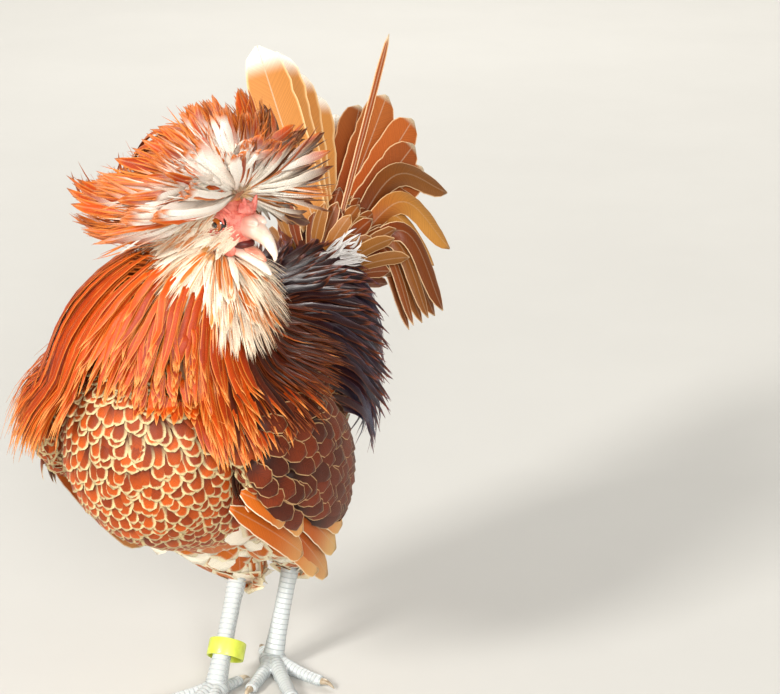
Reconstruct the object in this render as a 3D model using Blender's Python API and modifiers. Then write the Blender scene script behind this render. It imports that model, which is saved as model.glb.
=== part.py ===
"""A polish crested cock, life size, standing with its head turned to its left.

Metres, +Z up. The cock's breast faces -Y and its left side is +X. The floor is
at z = 0, and the origin is on the floor below the middle of the whole bird.

Each node is a body, or a core with its long feathers fused to it. The rows are
laid from the lowest to the one that covers it, each clear of those before it.
"""
import math

import bmesh
import bpy
import numpy as np
from mathutils import Matrix, Vector
from mathutils.bvhtree import BVHTree

# ------------------------------------------------------------ driving dimensions
GAP = 0.0003  # what stays open between two pieces that touch
RIGHT, LEFT = -1.0, 1.0  # the sign of x on each side of the bird
SIDES = {"right": RIGHT, "left": LEFT}
UP = np.array((0.0, 0.0, 1.0))
BACK = np.array((0.0, 1.0, 0.0))
SEED = 7

# Stations of a body are (x, y, z, half width, half height).
TORSO = (
    (0.0, -0.154, 0.222, 0.0, 0.0),
    (0.0, -0.135, 0.221, 0.052, 0.056),
    (0.0, -0.100, 0.216, 0.072, 0.076),
    (0.0, -0.050, 0.211, 0.081, 0.086),
    (0.0, 0.000, 0.210, 0.079, 0.084),
    (0.0, 0.050, 0.222, 0.068, 0.070),
    (0.0, 0.095, 0.240, 0.052, 0.053),
    (0.0, 0.130, 0.258, 0.036, 0.036),
    (0.0, 0.152, 0.269, 0.0, 0.0),
)
TORSO_LENGTH = 0.31
RUMP_FROM = 0.55  # share of the torso's length where the rump is parted from it
NECK = (  # the neck's flesh and small feathers
    (0.000, -0.064, 0.222, 0.0, 0.0),
    (0.000, -0.073, 0.238, 0.070, 0.064),
    (0.002, -0.082, 0.268, 0.062, 0.056),
    (0.011, -0.089, 0.298, 0.047, 0.044),
    (0.024, -0.091, 0.324, 0.031, 0.030),
    (0.037, -0.091, 0.346, 0.0, 0.0),
)
NECK_COVER = (  # the bell that the cape lies on
    (0.000, -0.060, 0.216, 0.0, 0.0),
    (0.000, -0.072, 0.240, 0.083, 0.077),
    (0.002, -0.082, 0.270, 0.074, 0.069),
    (0.009, -0.088, 0.298, 0.058, 0.054),
    (0.021, -0.091, 0.324, 0.040, 0.038),
    (0.032, -0.091, 0.343, 0.024, 0.024),
    (0.039, -0.090, 0.354, 0.0, 0.0),
)
WING = (  # the left wing's flesh and small feathers
    (0.068, -0.130, 0.236, 0.0, 0.0),
    (0.077, -0.112, 0.229, 0.013, 0.026),
    (0.083, -0.075, 0.212, 0.014, 0.042),
    (0.083, -0.035, 0.190, 0.012, 0.042),
    (0.080, -0.005, 0.170, 0.008, 0.034),
    (0.077, 0.018, 0.152, 0.0, 0.0),
)
WING_COVER = (  # all that the closed wing takes up, out to the feathers' tips
    (0.066, -0.136, 0.238, 0.0, 0.0),
    (0.079, -0.112, 0.227, 0.0215, 0.036),
    (0.086, -0.075, 0.210, 0.0225, 0.050),
    (0.086, -0.040, 0.186, 0.0200, 0.054),
    (0.083, -0.010, 0.160, 0.0150, 0.052),
    (0.079, 0.016, 0.136, 0.010, 0.040),
    (0.076, 0.028, 0.122, 0.0, 0.0),
)
WING_OUT = {RIGHT: 1.06, LEFT: 1.0}  # the right wing is held further out
# From the lowest primary to the uppermost secondary.
FLIGHT_ROOTS = ((0.074, -0.104, 0.200), (0.079, -0.066, 0.192), (0.080, -0.048, 0.208))
FLIGHT_TIPS = (
    (0.069, 0.000, 0.092),
    (0.073, 0.016, 0.112),
    (0.077, 0.022, 0.146),
    (0.078, 0.016, 0.182),
)
FLIGHT_WIDTHS, COVERT_WIDTHS = (0.45, 0.85, 1.0, 0.8), (0.55, 0.95, 1.0)
FLIGHTS, FLIGHT_HALF_WIDTH, FLIGHT_BULGE, FLIGHT_LAYER = 10, (0.0090, 0.0140), 0.005, 0.00100
COVERTS = (  # share of the wing's length, count, length, half width, height
    (0.52, 4, 0.046, 0.0104, 0.0010),
    (0.34, 4, 0.042, 0.0104, 0.0032),
    (0.16, 3, 0.036, 0.0104, 0.0054),
)
COVERT_LAYER = 0.0016  # by which every other covert of a row lies over its neighbours

HEAD_AT = np.array((0.050, -0.088, 0.367))  # middle of the skull
HEAD_TURN = math.radians(78.0)  # to the bird's left, from straight ahead
HEAD_DROP = math.radians(3.0)

# From here on, head parts are given in the head's own axes: forward, left, up.
SKULL = (
    (-0.027, 0.0, -0.002, 0.0, 0.0),
    (-0.019, 0.0, 0.000, 0.0130, 0.0140),
    (-0.004, 0.0, 0.001, 0.0160, 0.0170),
    (0.012, 0.0, -0.002, 0.0125, 0.0145),
    (0.021, 0.0, -0.005, 0.0, 0.0),
)
UPPER_BILL = (
    (0.0120, 0.0, 0.0000, 0.0, 0.0),
    (0.0170, 0.0, 0.0010, 0.0083, 0.0078),
    (0.0255, 0.0, -0.0010, 0.0068, 0.0060),
    (0.0340, 0.0, -0.0055, 0.0044, 0.0042),
    (0.0400, 0.0, -0.0130, 0.0021, 0.0024),
    (0.0405, 0.0, -0.0180, 0.0, 0.0),
)
LOWER_BILL = (
    (0.0080, 0.0, -0.0156, 0.0, 0.0),
    (0.0140, 0.0, -0.0166, 0.0078, 0.0032),
    (0.0240, 0.0, -0.0198, 0.0060, 0.0029),
    (0.0320, 0.0, -0.0236, 0.0036, 0.0023),
    (0.0380, 0.0, -0.0274, 0.0, 0.0),
)
TONGUE = (
    (0.0150, 0.0, -0.0128, 0.0, 0.0),
    (0.0200, 0.0, -0.0140, 0.0042, 0.0018),
    (0.0270, 0.0, -0.0162, 0.0036, 0.0017),
    (0.0335, 0.0, -0.0192, 0.0, 0.0),
)
NOSTRIL_LUMP_AT, NOSTRIL_LUMP = (0.0235, 0.0040, 0.0052), (0.0058, 0.0036, 0.0042)
NOSTRIL_AT, NOSTRIL = (0.0265, 0.0078, 0.0056), (0.0024, 0.0016, 0.0011)
EYE_AT, EYE_RADIUS = (0.0050, 0.0122, 0.0020), 0.0058
LID_RADIUS, LID_REACH, LID_OUT, LID_TAPER = 0.0012, 0.0054, 0.0022, (0.6, 1.1, 1.1, 0.6)
COMB_AT, COMB_HORN = (0.0185, 0.0050, 0.0180), (0.0028, 0.0028, 0.0080)
COMB_BASE_AT, COMB_BASE = (0.0175, 0.0, 0.0125), (0.0032, 0.0070, 0.0038)

KNOB_AT, KNOB = (-0.013, 0.0, 0.0300), (0.0330, 0.0360, 0.0220)
# The crest's tiers: rise of the tips, count, how far the tips reach, half width.
CREST_TIERS = (
    (math.radians(-26.0), 12, 0.98, 0.0100),
    (math.radians(-6.0), 14, 1.00, 0.0102),
    (math.radians(15.0), 12, 1.00, 0.0104),
    (math.radians(37.0), 9, 0.98, 0.0104),
    (math.radians(60.0), 5, 1.00, 0.0104),
    (math.radians(84.0), 2, 1.04, 0.0104),
)
CREST_FRONT, CREST_SIDE, CREST_BACK, CREST_TOP = 0.064, 0.092, 0.100, 0.054
CREST_ROUNDING = 1.1  # how late the tips rise from the rim's reach to the top's, as a power
CREST_WIDTHS = (0.60, 1.0, 0.62)
CREST_WEAVE = math.radians(3.5)  # by which neighbours in a tier rise more or less
CREST_LOW_FRONT = math.radians(52.0)  # the lowest tier leaves the face open to here

BEARD_CORE = (
    (-0.004, 0.0, -0.016, 0.0, 0.0),
    (-0.002, 0.0, -0.026, 0.0170, 0.0150),
    (0.004, 0.0, -0.040, 0.0190, 0.0165),
    (0.008, 0.0, -0.052, 0.0140, 0.0120),
    (0.010, 0.0, -0.060, 0.0, 0.0),
)
MUFF_AT, MUFF = (-0.006, 0.0165, -0.0200), (0.0150, 0.0100, 0.0120)
BEARD_ROWS = ((0.36, 6, 0.026), (0.60, 6, 0.029), (0.84, 4, 0.028))
BEARD_HALF_WIDTH, BEARD_WIDTHS = 0.0080, (0.60, 1.0, 0.66)
MUFF_TUFTS, MUFF_LENGTH, MUFF_HALF_WIDTH = 4, 0.038, 0.0070

HACKLE_ROWS = (  # share of the neck, count, length, height over what lies below
    (0.40, 12, 0.078, 0.0026),
    (0.54, 11, 0.092, 0.0044),
    (0.68, 10, 0.104, 0.0062),
    (0.81, 8, 0.106, 0.0080),
)
HACKLE_HALF_WIDTH, HACKLE_OPEN = 0.0088, math.radians(32.0)
SADDLE_ROWS = (  # share of the torso, count, length at the top and at the sides, height
    (0.84, 5, 0.050, 0.104, 0.0032),
    (0.75, 7, 0.060, 0.112, 0.0050),
    (0.66, 6, 0.066, 0.112, 0.0068),
    (0.58, 5, 0.068, 0.104, 0.0086),
)
SADDLE_HALF_WIDTH, SADDLE_LOW = 0.0084, math.radians(8.0)
LANCE_WIDTHS = (0.40, 0.86, 1.0, 0.78)
SHORT_LANCE_WIDTHS = (0.50, 1.0, 0.90)
TIP_LIFT = 0.9  # how much higher than its middle a lance's end stands off
SETTLE_WITHIN = 0.045  # a feather this near to a body below it comes to lie on it

TAIL_CORE = (
    (0.0, 0.126, 0.262, 0.0, 0.0),
    (0.0, 0.138, 0.274, 0.026, 0.024),
    (0.0, 0.150, 0.292, 0.024, 0.019),
    (-0.001, 0.158, 0.308, 0.0, 0.0),
)
TAIL_BASE = np.array((0.0, 0.146, 0.286))
# Tips of the main feathers beyond the tail's base, from the rear of each half of the
# fan to its face, and half widths.
RECTRICES = {
    RIGHT: (
        ((-0.034, 0.084, 0.087), 0.0160),
        ((-0.044, 0.062, 0.107), 0.0170),
        ((-0.050, 0.042, 0.127), 0.0175),
        ((-0.056, 0.026, 0.142), 0.0180),
        ((-0.062, 0.010, 0.148), 0.0180),
    ),
    LEFT: (
        ((-0.018, 0.086, 0.094), 0.0160),
        ((0.003, 0.089, 0.103), 0.0170),
        ((0.020, 0.098, 0.084), 0.0170),
        ((0.024, 0.090, 0.066), 0.0160),
        ((0.030, 0.092, 0.048), 0.0150),
        ((0.014, 0.064, 0.154), 0.0040),
    ),
}
FAN_BOW, FAN_PARTED = 0.004, -0.006  # bend of the feathers, distance between the halves
RECTRIX_LAYER, RECTRIX_WIDTHS = 0.0014, (0.30, 0.86, 0.80)
# Both halves of the fan are turned a little to the left, so they differ.
VANE_FACES = {RIGHT: (0.55, -0.75, 0.35), LEFT: (0.80, -0.55, 0.25)}
# Sickles of the left side: middle and end of the arch beyond the tail's base, width.
SICKLES = (
    ((0.016, 0.056, 0.050), (0.036, 0.110, 0.028), 0.0092),
    ((0.026, 0.044, 0.036), (0.050, 0.080, -0.006), 0.0088),
    ((0.036, 0.026, 0.020), (0.060, 0.042, -0.042), 0.0084),
    ((0.026, 0.036, 0.006), (0.044, 0.058, -0.050), 0.0080),
)
SICKLE_ROOT_BACK = {RIGHT: 0.014, LEFT: 0.0}  # behind the fan, where that stands out
SICKLE_ROOT_OUT, SICKLE_STEP = 0.012, 0.002  # beside the tail's base, and from one to the next
SICKLE_FACES = {RIGHT: (-0.90, 0.10, 0.35), LEFT: (0.80, -0.40, 0.45)}
SICKLE_WIDTHS = (0.45, 0.90, 1.0, 0.72)

FOOT_AT = {RIGHT: (0.000, -0.032), LEFT: (0.013, 0.029)}
HOCK_AT = {RIGHT: (-0.010, 0.026, 0.084), LEFT: (0.018, 0.056, 0.089)}
HIP_AT = {RIGHT: (-0.036, -0.012, 0.150), LEFT: (0.036, 0.006, 0.152)}
FOOT_TURN = {RIGHT: math.radians(-8.0), LEFT: math.radians(42.0)}
THIGH_RADIUS, HOCK_RADIUS = 0.040, 0.013
SHANK_RADIUS, ANKLE_RADIUS = 0.0062, 0.0080
TOE_TAPER, CLAW_TAPER = (1.25, 1.15, 1.0, 0.86), (1.0, 0.78, 0.45, 0.12)
FOOT_PAD = (0.0098, 0.0105, 0.0078)
TOES = (  # angle from straight ahead towards the bird's middle, length, radius
    ("inner", math.radians(34.0), 0.046, 0.0044),
    ("middle", math.radians(0.0), 0.060, 0.0048),
    ("outer", math.radians(-34.0), 0.048, 0.0044),
    ("hind", math.radians(178.0), 0.026, 0.0040),
)
CLAW_LENGTH, CLAW_RADIUS = 0.013, 0.0030
BAND_AT, BAND_RADIUS, BAND_WALL, BAND_HEIGHT = 0.30, 0.0135, 0.0014, 0.0125

VANE_HALF_THICK = 0.00030  # of a vane, but at its tip
FINISHES = {
    "buff_red_plumage": ((0.48, 0.14, 0.03), 0.6),
    "cream_plumage": ((0.80, 0.66, 0.42), 0.8),
    "red_skin": ((0.60, 0.10, 0.08), 0.5),
    "horn": ((0.86, 0.72, 0.58), 0.35),
    "slate_scale": ((0.55, 0.60, 0.66), 0.5),
    "eye": ((0.10, 0.03, 0.01), 0.05),
    "band_plastic": ((0.62, 0.85, 0.02), 0.35),
}


# ------------------------------------------------------------------ small geometry
def unit(vectors):
    """The vectors at length one."""
    vectors = np.asarray(vectors, float)
    return vectors / np.maximum(np.linalg.norm(vectors, axis=-1, keepdims=True), 1e-12)


def smooth(knots, share):
    """A Catmull-Rom curve through the knots, read at shares of its length."""
    knots = np.asarray(knots, float)
    last = len(knots) - 1
    place = np.clip(np.atleast_1d(share), 0.0, 1.0) * last
    first = np.minimum(place.astype(int), last - 1)
    t = (place - first)[:, None]
    padded = np.vstack([2 * knots[0] - knots[1], knots, 2 * knots[-1] - knots[-2]])
    a, b, c, d = (padded[first + k] for k in range(4))
    return b + 0.5 * t * (c - a + t * (2 * a - 5 * b + 4 * c - d + t * (3 * (b - c) + d - a)))


def band_faces(rows, sides):
    """Triangles between rows of points that each run once round a body."""
    ring = np.arange(sides)
    after = (ring + 1) % sides
    faces = []
    for k in range(rows - 1):
        low, high = k * sides, (k + 1) * sides
        faces += np.stack([low + ring, low + after, high + after], 1).tolist()
        faces += np.stack([low + ring, high + after, high + ring], 1).tolist()
    return faces


def fan_faces(edge, sides, pole):
    """Triangles from one row of points to a pole."""
    return [[edge + k, edge + (k + 1) % sides, pole] for k in range(sides)]


class Loft:
    """A rounded body of elliptical sections along a bent axis.

    The squares of the half sizes are interpolated, which rounds both ends.
    """

    def __init__(self, stations, up=UP):
        table = np.array(stations, float)
        self.knots = table[:, :3]
        self.squares = table[:, 3:5] ** 2
        self.up = np.array(up, float)

    def frame(self, share):
        """Centre, forward, side, up and half sizes of the sections at these shares."""
        share = np.atleast_1d(np.asarray(share, float))
        step = 1e-3
        ahead = smooth(self.knots, np.minimum(share + step, 1.0))
        forward = unit(ahead - smooth(self.knots, np.maximum(share - step, 0.0)))
        side = unit(np.cross(forward, self.up))
        half = np.sqrt(np.maximum(smooth(self.squares, share), 0.0))
        return smooth(self.knots, share), forward, side, np.cross(side, forward), half

    def points(self, share, angle, grow=0.0):
        """Points on the surface. Angle 0 is the side, a quarter turn the top."""
        centre, _, side, up, half = self.frame(share)
        angle = np.atleast_1d(np.asarray(angle, float))[:, None]
        across = (half[:, :1] + grow) * np.cos(angle) * side
        return centre + across + (half[:, 1:] + grow) * np.sin(angle) * up

    def spot(self, share, angle):
        """One point on the surface, with the directions out of it and along it."""
        step = 5e-3
        here, ahead = self.points([share, share + step], [angle, angle])
        turned = self.points(share, angle + step)[0]
        along = unit(ahead - here)
        out = unit(np.cross(along, turned - here))
        return here, out, along

    def shell(self, rings, sides, grow=0.0, start=0.0, end=1.0):
        """Vertices and faces of the closed surface, flat where start or end cuts it."""
        bounds = math.acos(1 - 2 * start), math.acos(1 - 2 * end)
        share = (1 - np.cos(np.linspace(*bounds, rings + 2))) / 2
        share = share[int(start == 0) : len(share) - int(end == 1)]
        turns = np.tile(np.arange(sides) * 2 * math.pi / sides, len(share))
        verts = [self.points(np.repeat(share, sides), turns, grow)]
        faces = band_faces(len(share), sides)
        count = len(share) * sides
        for whole, edge, pole in ((start == 0, 0, 0), (end == 1, count - sides, -1)):
            if whole:
                outward = unit(self.knots[pole] - self.knots[1 if pole == 0 else -2])
                verts.append((self.knots[pole] + outward * grow)[None])
                faces += fan_faces(edge, sides, count)
                count += 1
            else:
                faces.append(list(range(edge, edge + sides)))
        return np.vstack(verts), faces


def globe(centre, radii, axes=None, grow=0.0, sides=12, rings=7):
    """A sphere primitive, stretched along three axes."""
    ball = bmesh.new()
    bmesh.ops.create_uvsphere(ball, u_segments=sides, v_segments=rings, radius=1.0)
    verts = np.array([vert.co[:] for vert in ball.verts]) * (np.asarray(radii) + grow)
    faces = [[vert.index for vert in face.verts] for face in ball.faces]
    ball.free()
    return np.asarray(centre) + verts @ (np.eye(3) if axes is None else axes), faces


def rod(points, radii, grow=0.0, resolution=2):
    """A round rod through the points: a curve with a bevel, made a closed mesh."""
    curve = bpy.data.curves.new("rod", "CURVE")
    curve.dimensions = "3D"
    curve.bevel_depth = 1.0
    curve.bevel_resolution = resolution
    curve.use_fill_caps = True
    spline = curve.splines.new("POLY")
    spline.points.add(len(points) - 1)
    for knot, point, radius in zip(spline.points, points, radii):
        knot.co = (*point, 1.0)
        knot.radius = radius + grow
    obj = bpy.data.objects.new("rod", curve)
    bpy.context.scene.collection.objects.link(obj)
    graph = bpy.context.evaluated_depsgraph_get()
    mesh = bpy.data.meshes.new_from_object(obj.evaluated_get(graph))
    made = bmesh.new()
    made.from_mesh(mesh)
    bmesh.ops.remove_doubles(made, verts=made.verts, dist=1e-6)
    verts = np.array([vert.co[:] for vert in made.verts])
    faces = [[vert.index for vert in face.verts] for face in made.faces]
    made.free()
    bpy.data.objects.remove(obj)
    bpy.data.curves.remove(curve)
    bpy.data.meshes.remove(mesh)
    return verts, faces


def on_floor(shape):
    """The shape with all that is below the floor pressed up to it."""
    verts, faces = shape
    verts = np.array(verts)
    verts[:, 2] = np.maximum(verts[:, 2], 0.0)
    return verts, faces


# ------------------------------------------------------------------------ feathers
class Feather:
    """A flat, tapered feather: a spine, its normals and half widths, and a tip."""

    def __init__(self, spine, normals, half_widths):
        self.spine = np.asarray(spine, float)
        self.half_widths = np.asarray(half_widths, float)
        along = unit(np.gradient(self.spine, axis=0))[:-1]
        self.side = unit(np.cross(along, np.asarray(normals, float)[: len(along)]))
        self.out = np.cross(self.side, along)

    def shell(self, grow=0.0):
        """Vertices and faces, with one split of the quads on both faces of the vane."""
        count = len(self.spine) - 1
        half = (self.half_widths[:count, None] + grow) * self.side
        thick = np.full(count, VANE_HALF_THICK)
        thick[-1] *= 0.8
        rise = (thick[:, None] + grow) * self.out
        base = self.spine[:count]
        corners = [base - half + rise, base + half + rise, base + half - rise, base - half - rise]
        verts = np.stack(corners, 1).reshape(-1, 3)
        tip = self.spine[-1] + unit(self.spine[-1] - self.spine[-2]) * grow
        faces = []
        for k in range(count - 1):
            a, b = 4 * k, 4 * k + 4
            for i, j in ((0, 1), (1, 2), (3, 0)):
                faces += [[a + i, a + j, b + j], [a + i, b + j, b + i]]
            faces += [[a + 3, b + 2, a + 2], [a + 3, b + 3, b + 2]]
        faces += fan_faces(4 * count - 4, 4, 4 * count) + [[0, 1, 2], [0, 2, 3]]
        return np.vstack([verts, tip]), faces


class Ground:
    """Smooth bodies that a feather lies on."""

    def __init__(self, shells):
        self.trees = []
        for shell in shells:
            body = closed_bmesh(shell)
            self.trees.append(BVHTree.FromBMesh(body))
            body.free()

    def settle(self, point, lift, normal):
        """The point at this height over the uppermost body, if it is near, and the normal."""
        place = Vector(point)
        for within in (SETTLE_WITHIN, 0.0, 0.0):
            found = []
            for tree in self.trees:
                near, out, _, _ = tree.find_nearest(place)
                found.append(((place - near).dot(out), near, out))
            height, near, out = min(found, key=lambda hit: hit[0])
            if height < lift + within:
                place = near + out * lift
                normal = unit(np.array(normal) + 2.0 * np.array(out))
        return np.array(place), normal


def lay(spot, heading, length, ground, lift, fall, steps=4, sink=0.005, flare=0.0):
    """Spine and normals of a feather that leaves a surface and settles on what is below."""
    root, out = spot
    heading = unit(heading)
    spine, normals = [root - heading * sink - out * sink * 0.4], [out]
    place, normal = root, out
    for k in range(steps):
        heading = unit(heading + np.asarray(fall) * (k + 1) / steps)
        step = place + heading * length / steps
        over = lift * min(1.0, (k + 2) / 2) + flare * max(0.0, (k + 2) / steps - 0.5) ** 2
        step, normal = ground.settle(step, over, normal)
        heading = unit(step - place)
        normal = unit(normal - heading * normal.dot(heading))
        place = step
        spine.append(place)
        normals.append(normal)
    return spine, normals


# ------------------------------------------------------------- Blender's own tools
def clear_scene():
    """Removes what a new file holds."""
    for obj in list(bpy.data.objects):
        bpy.data.objects.remove(obj)


def collection(name, helper=False):
    """A collection linked to the scene. A helper's objects are no part of the bird."""
    made = bpy.data.collections.new(name)
    bpy.context.scene.collection.children.link(made)
    made.hide_render = helper
    return made


def material(name):
    """The Principled material of that name."""
    if name in bpy.data.materials:
        return bpy.data.materials[name]
    colour, roughness = FINISHES[name]
    made = bpy.data.materials.new(name)
    made.use_nodes = True
    shader = made.node_tree.nodes["Principled BSDF"]
    shader.inputs["Base Color"].default_value = (*colour, 1.0)
    shader.inputs["Roughness"].default_value = roughness
    shader.inputs["Metallic"].default_value = 0.0
    return made


def closed_bmesh(shape):
    """A bmesh of the shape with its faces turned outwards."""
    verts, faces = shape
    made = bmesh.new()
    corners = [made.verts.new(vert) for vert in np.asarray(verts).tolist()]
    for face in faces:
        made.faces.new([corners[i] for i in face])
    bmesh.ops.recalc_face_normals(made, faces=made.faces)
    return made


def solid(name, shape, home, helper=False):
    """A closed mesh object from vertices and faces."""
    mesh = bpy.data.meshes.new(name)
    body = closed_bmesh(shape)
    body.to_mesh(mesh)
    body.free()
    obj = bpy.data.objects.new(name, mesh)
    home.objects.link(obj)
    if helper:
        obj.hide_render = True
        obj.display_type = "WIRE"
    return obj


def boolean(obj, helpers, operation):
    """Joins or cuts obj with the objects of a collection, then removes them.

    Thin vanes that cross make the exact solver slow, so the manifold one is used.
    """
    change = obj.modifiers.new(operation, "BOOLEAN")
    change.operation = operation
    change.solver = "MANIFOLD"
    change.operand_type = "COLLECTION"
    change.collection = helpers
    graph = bpy.context.evaluated_depsgraph_get()
    made = bpy.data.meshes.new_from_object(obj.evaluated_get(graph))
    obj.modifiers.clear()
    obj.data = made
    for helper in list(helpers.objects):
        bpy.data.objects.remove(helper)
    bpy.data.collections.remove(helpers)


def signed_volume(faces):
    """Volume inside a set of faces, negative where they close a hollow."""
    total = 0.0
    for face in faces:
        a = face.verts[0].co
        for b, c in zip(face.verts[1:-1], face.verts[2:]):
            total += a.dot(b.co.cross(c.co)) / 6
    return total


def keep_largest(obj):
    """Keeps only the largest closed surface of the mesh."""
    body = bmesh.new()
    body.from_mesh(obj.data)
    loose = set(body.verts)
    shells = []
    while loose:
        front = [loose.pop()]
        verts = set(front)
        while front:
            near = {vert for edge in front.pop().link_edges for vert in edge.verts}
            near &= loose
            loose -= near
            verts |= near
            front += near
        faces = {face for vert in verts for face in vert.link_faces}
        shells.append((signed_volume(faces), verts))
    shells.sort(key=lambda shell: shell[0])
    for _, verts in shells[:-1]:
        bmesh.ops.delete(body, geom=list(verts), context="VERTS")
    body.to_mesh(obj.data)
    body.free()


class Bird:
    """The collection of finished nodes, and how one is joined, cut and coloured."""

    def __init__(self):
        self.parts = collection("polish_crested_cock")

    def node(self, name, base, finish, joined=(), cut=()):
        """One node: a base shape, shapes joined to it and shapes cut away from it."""
        obj = solid(name, base, self.parts)
        for operation, shapes in (("UNION", joined), ("DIFFERENCE", cut)):
            if len(shapes):
                helpers = collection(f"{name}_{operation}", helper=True)
                for k, shape in enumerate(shapes):
                    solid(f"{name}_{operation}_{k}", shape, helpers, helper=True)
                boolean(obj, helpers, operation)
        keep_largest(obj)
        obj.data.materials.clear()
        obj.data.materials.append(material(finish))
        return obj

    def stand_on_origin(self):
        """Moves the bird so that the origin is on the floor below its middle."""
        points = np.vstack([[vert.co[:] for vert in obj.data.vertices] for obj in self.parts.objects])
        low, high = points.min(axis=0), points.max(axis=0)
        shift = Vector((-(low[0] + high[0]) / 2, -(low[1] + high[1]) / 2, -low[2]))
        for obj in self.parts.objects:
            obj.data.transform(Matrix.Translation(shift))


# ------------------------------------------------------------------------ the head
def head_axes():
    """The head's forward, left and up directions as the rows of a matrix."""
    flat = np.array((math.sin(HEAD_TURN), -math.cos(HEAD_TURN), 0.0))
    forward = math.cos(HEAD_DROP) * flat - math.sin(HEAD_DROP) * UP
    left = np.cross(UP, flat)
    return np.stack([forward, left, np.cross(forward, left)])


AXES = head_axes()
FORWARD, HEAD_LEFT, HEAD_UP = AXES


def in_head(point):
    """A point given in the head's own axes, in the bird's."""
    return HEAD_AT + np.asarray(point, float) @ AXES


def head_loft(stations):
    """A loft whose stations are given in the head's own axes."""
    table = np.array(stations, float)
    table[:, :3] = in_head(table[:, :3])
    return Loft(table)


def head_globe(at, radii, side=1.0, grow=0.0, **detail):
    """A globe given in the head's own axes, on one side of the head."""
    return globe(in_head((at[0], at[1] * side, at[2])), radii, AXES, grow, **detail)


def skull(grow=0.0):
    """The naked head behind the bill."""
    return head_loft(SKULL).shell(7, 14, grow)


def bills(grow=0.0):
    """The two halves of the open bill."""
    return tuple(head_loft(part).shell(5, 10, grow, start=0.10) for part in (UPPER_BILL, LOWER_BILL))


def eye(side, grow=0.0):
    """An eyeball."""
    return head_globe(EYE_AT, (EYE_RADIUS,) * 3, side, grow, sides=10, rings=7)


def lids(side):
    """The two lids of an eye, as arcs round it."""
    centre = in_head((EYE_AT[0], EYE_AT[1] * side, EYE_AT[2]))
    made = []
    for first, last in ((20.0, 160.0), (200.0, 340.0)):
        turn = np.radians(np.linspace(first, last, 4))[:, None]
        ring = LID_REACH * (np.cos(turn) * FORWARD + 0.86 * np.sin(turn) * HEAD_UP)
        points = centre + ring + HEAD_LEFT * side * LID_OUT
        made.append(rod(points, [LID_RADIUS * k for k in LID_TAPER], resolution=1))
    return made


def comb(grow=0.0):
    """The small V comb: two horns on one base."""
    horns = [head_globe(COMB_AT, COMB_HORN, side, grow, sides=7, rings=5) for side in (RIGHT, LEFT)]
    return [head_globe(COMB_BASE_AT, COMB_BASE, 1.0, grow, sides=7, rings=5), *horns]


def nostril_lumps(grow=0.0):
    """The vaults over the two nostrils."""
    return [head_globe(NOSTRIL_LUMP_AT, NOSTRIL_LUMP, side, grow, sides=8, rings=5)
            for side in (RIGHT, LEFT)]


def make_head(bird):
    """Head, bill, tongue, comb and eyes. Returns what the plumage has to leave free."""
    upper, lower = bills()
    upper_room, lower_room = bills(GAP)
    eyes = [eye(side, GAP) for side in (RIGHT, LEFT)]
    lid_arcs = [arc for side in (RIGHT, LEFT) for arc in lids(side)]
    bird.node("head", skull(), "red_skin", lid_arcs, [upper_room, lower_room, *eyes])
    holes = [head_globe(NOSTRIL_AT, NOSTRIL, side, sides=6, rings=4) for side in (RIGHT, LEFT)]
    lumps, lump_rooms = nostril_lumps(), nostril_lumps(GAP)
    bird.node("bill_upper", upper, "horn", lumps, [*holes, skull(GAP)])
    bird.node("bill_lower", lower, "horn", cut=[upper_room, skull(GAP)])
    tongue = head_loft(TONGUE)
    bird.node("tongue", tongue.shell(3, 6), "red_skin", cut=[lower_room, upper_room, skull(GAP)])
    base, *horns = comb()
    bird.node("comb", base, "red_skin", horns, [skull(GAP), upper_room, *lump_rooms])
    for word, side in SIDES.items():
        bird.node(f"eye_{word}", eye(side), "eye")
    return [skull(GAP), upper_room, lower_room, *lump_rooms, *eyes, *comb(GAP)]


# ------------------------------------------------------------------- beard and crest
def hang(spot, heading, length, fall, steps, sink=0.005):
    """Spine and normals of a feather that stands off its surface and bends by its fall."""
    root, out = spot
    heading = unit(heading)
    spine, normals = [root - heading * sink], [out]
    place = root
    for _ in range(steps):
        heading = unit(heading + np.asarray(fall))
        place = place + heading * length / steps
        spine.append(place)
        normals.append(unit(out - heading * out.dot(heading)))
    return spine, normals


def beard_feathers(draw):
    """The beard's tufts below the bill and the muffs at both cheeks."""
    core = head_loft(BEARD_CORE)
    made = []
    for row, (share, count, length) in enumerate(BEARD_ROWS):
        for k in range(count):
            angle = 2 * math.pi * (k + 0.5 * (row % 2) + 0.2 * draw.random()) / count
            root, out, along = core.spot(share, angle)
            span = length * draw.uniform(0.85, 1.15)
            spine, normals = hang((root, out), along + 0.8 * out, span, -0.25 * UP, 3)
            made.append(Feather(spine, normals, BEARD_HALF_WIDTH * np.array(BEARD_WIDTHS)))
    for side in (RIGHT, LEFT):
        centre = in_head((MUFF_AT[0], MUFF_AT[1] * side, MUFF_AT[2]))
        for k in range(MUFF_TUFTS):
            turn = math.radians(-70.0 + 170.0 * k / (MUFF_TUFTS - 1))
            out = unit(side * HEAD_LEFT + 0.2 * FORWARD)
            sweep = -math.cos(turn) * FORWARD - math.sin(turn) * HEAD_UP
            root = centre + sweep * MUFF[2] * 0.8 + out * MUFF[1] * 0.4
            span = MUFF_LENGTH * draw.uniform(0.85, 1.1)
            spine, normals = hang((root, out), sweep + 0.5 * out, span, -0.1 * UP, 3)
            made.append(Feather(spine, normals, MUFF_HALF_WIDTH * np.array(BEARD_WIDTHS)))
    return made


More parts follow.
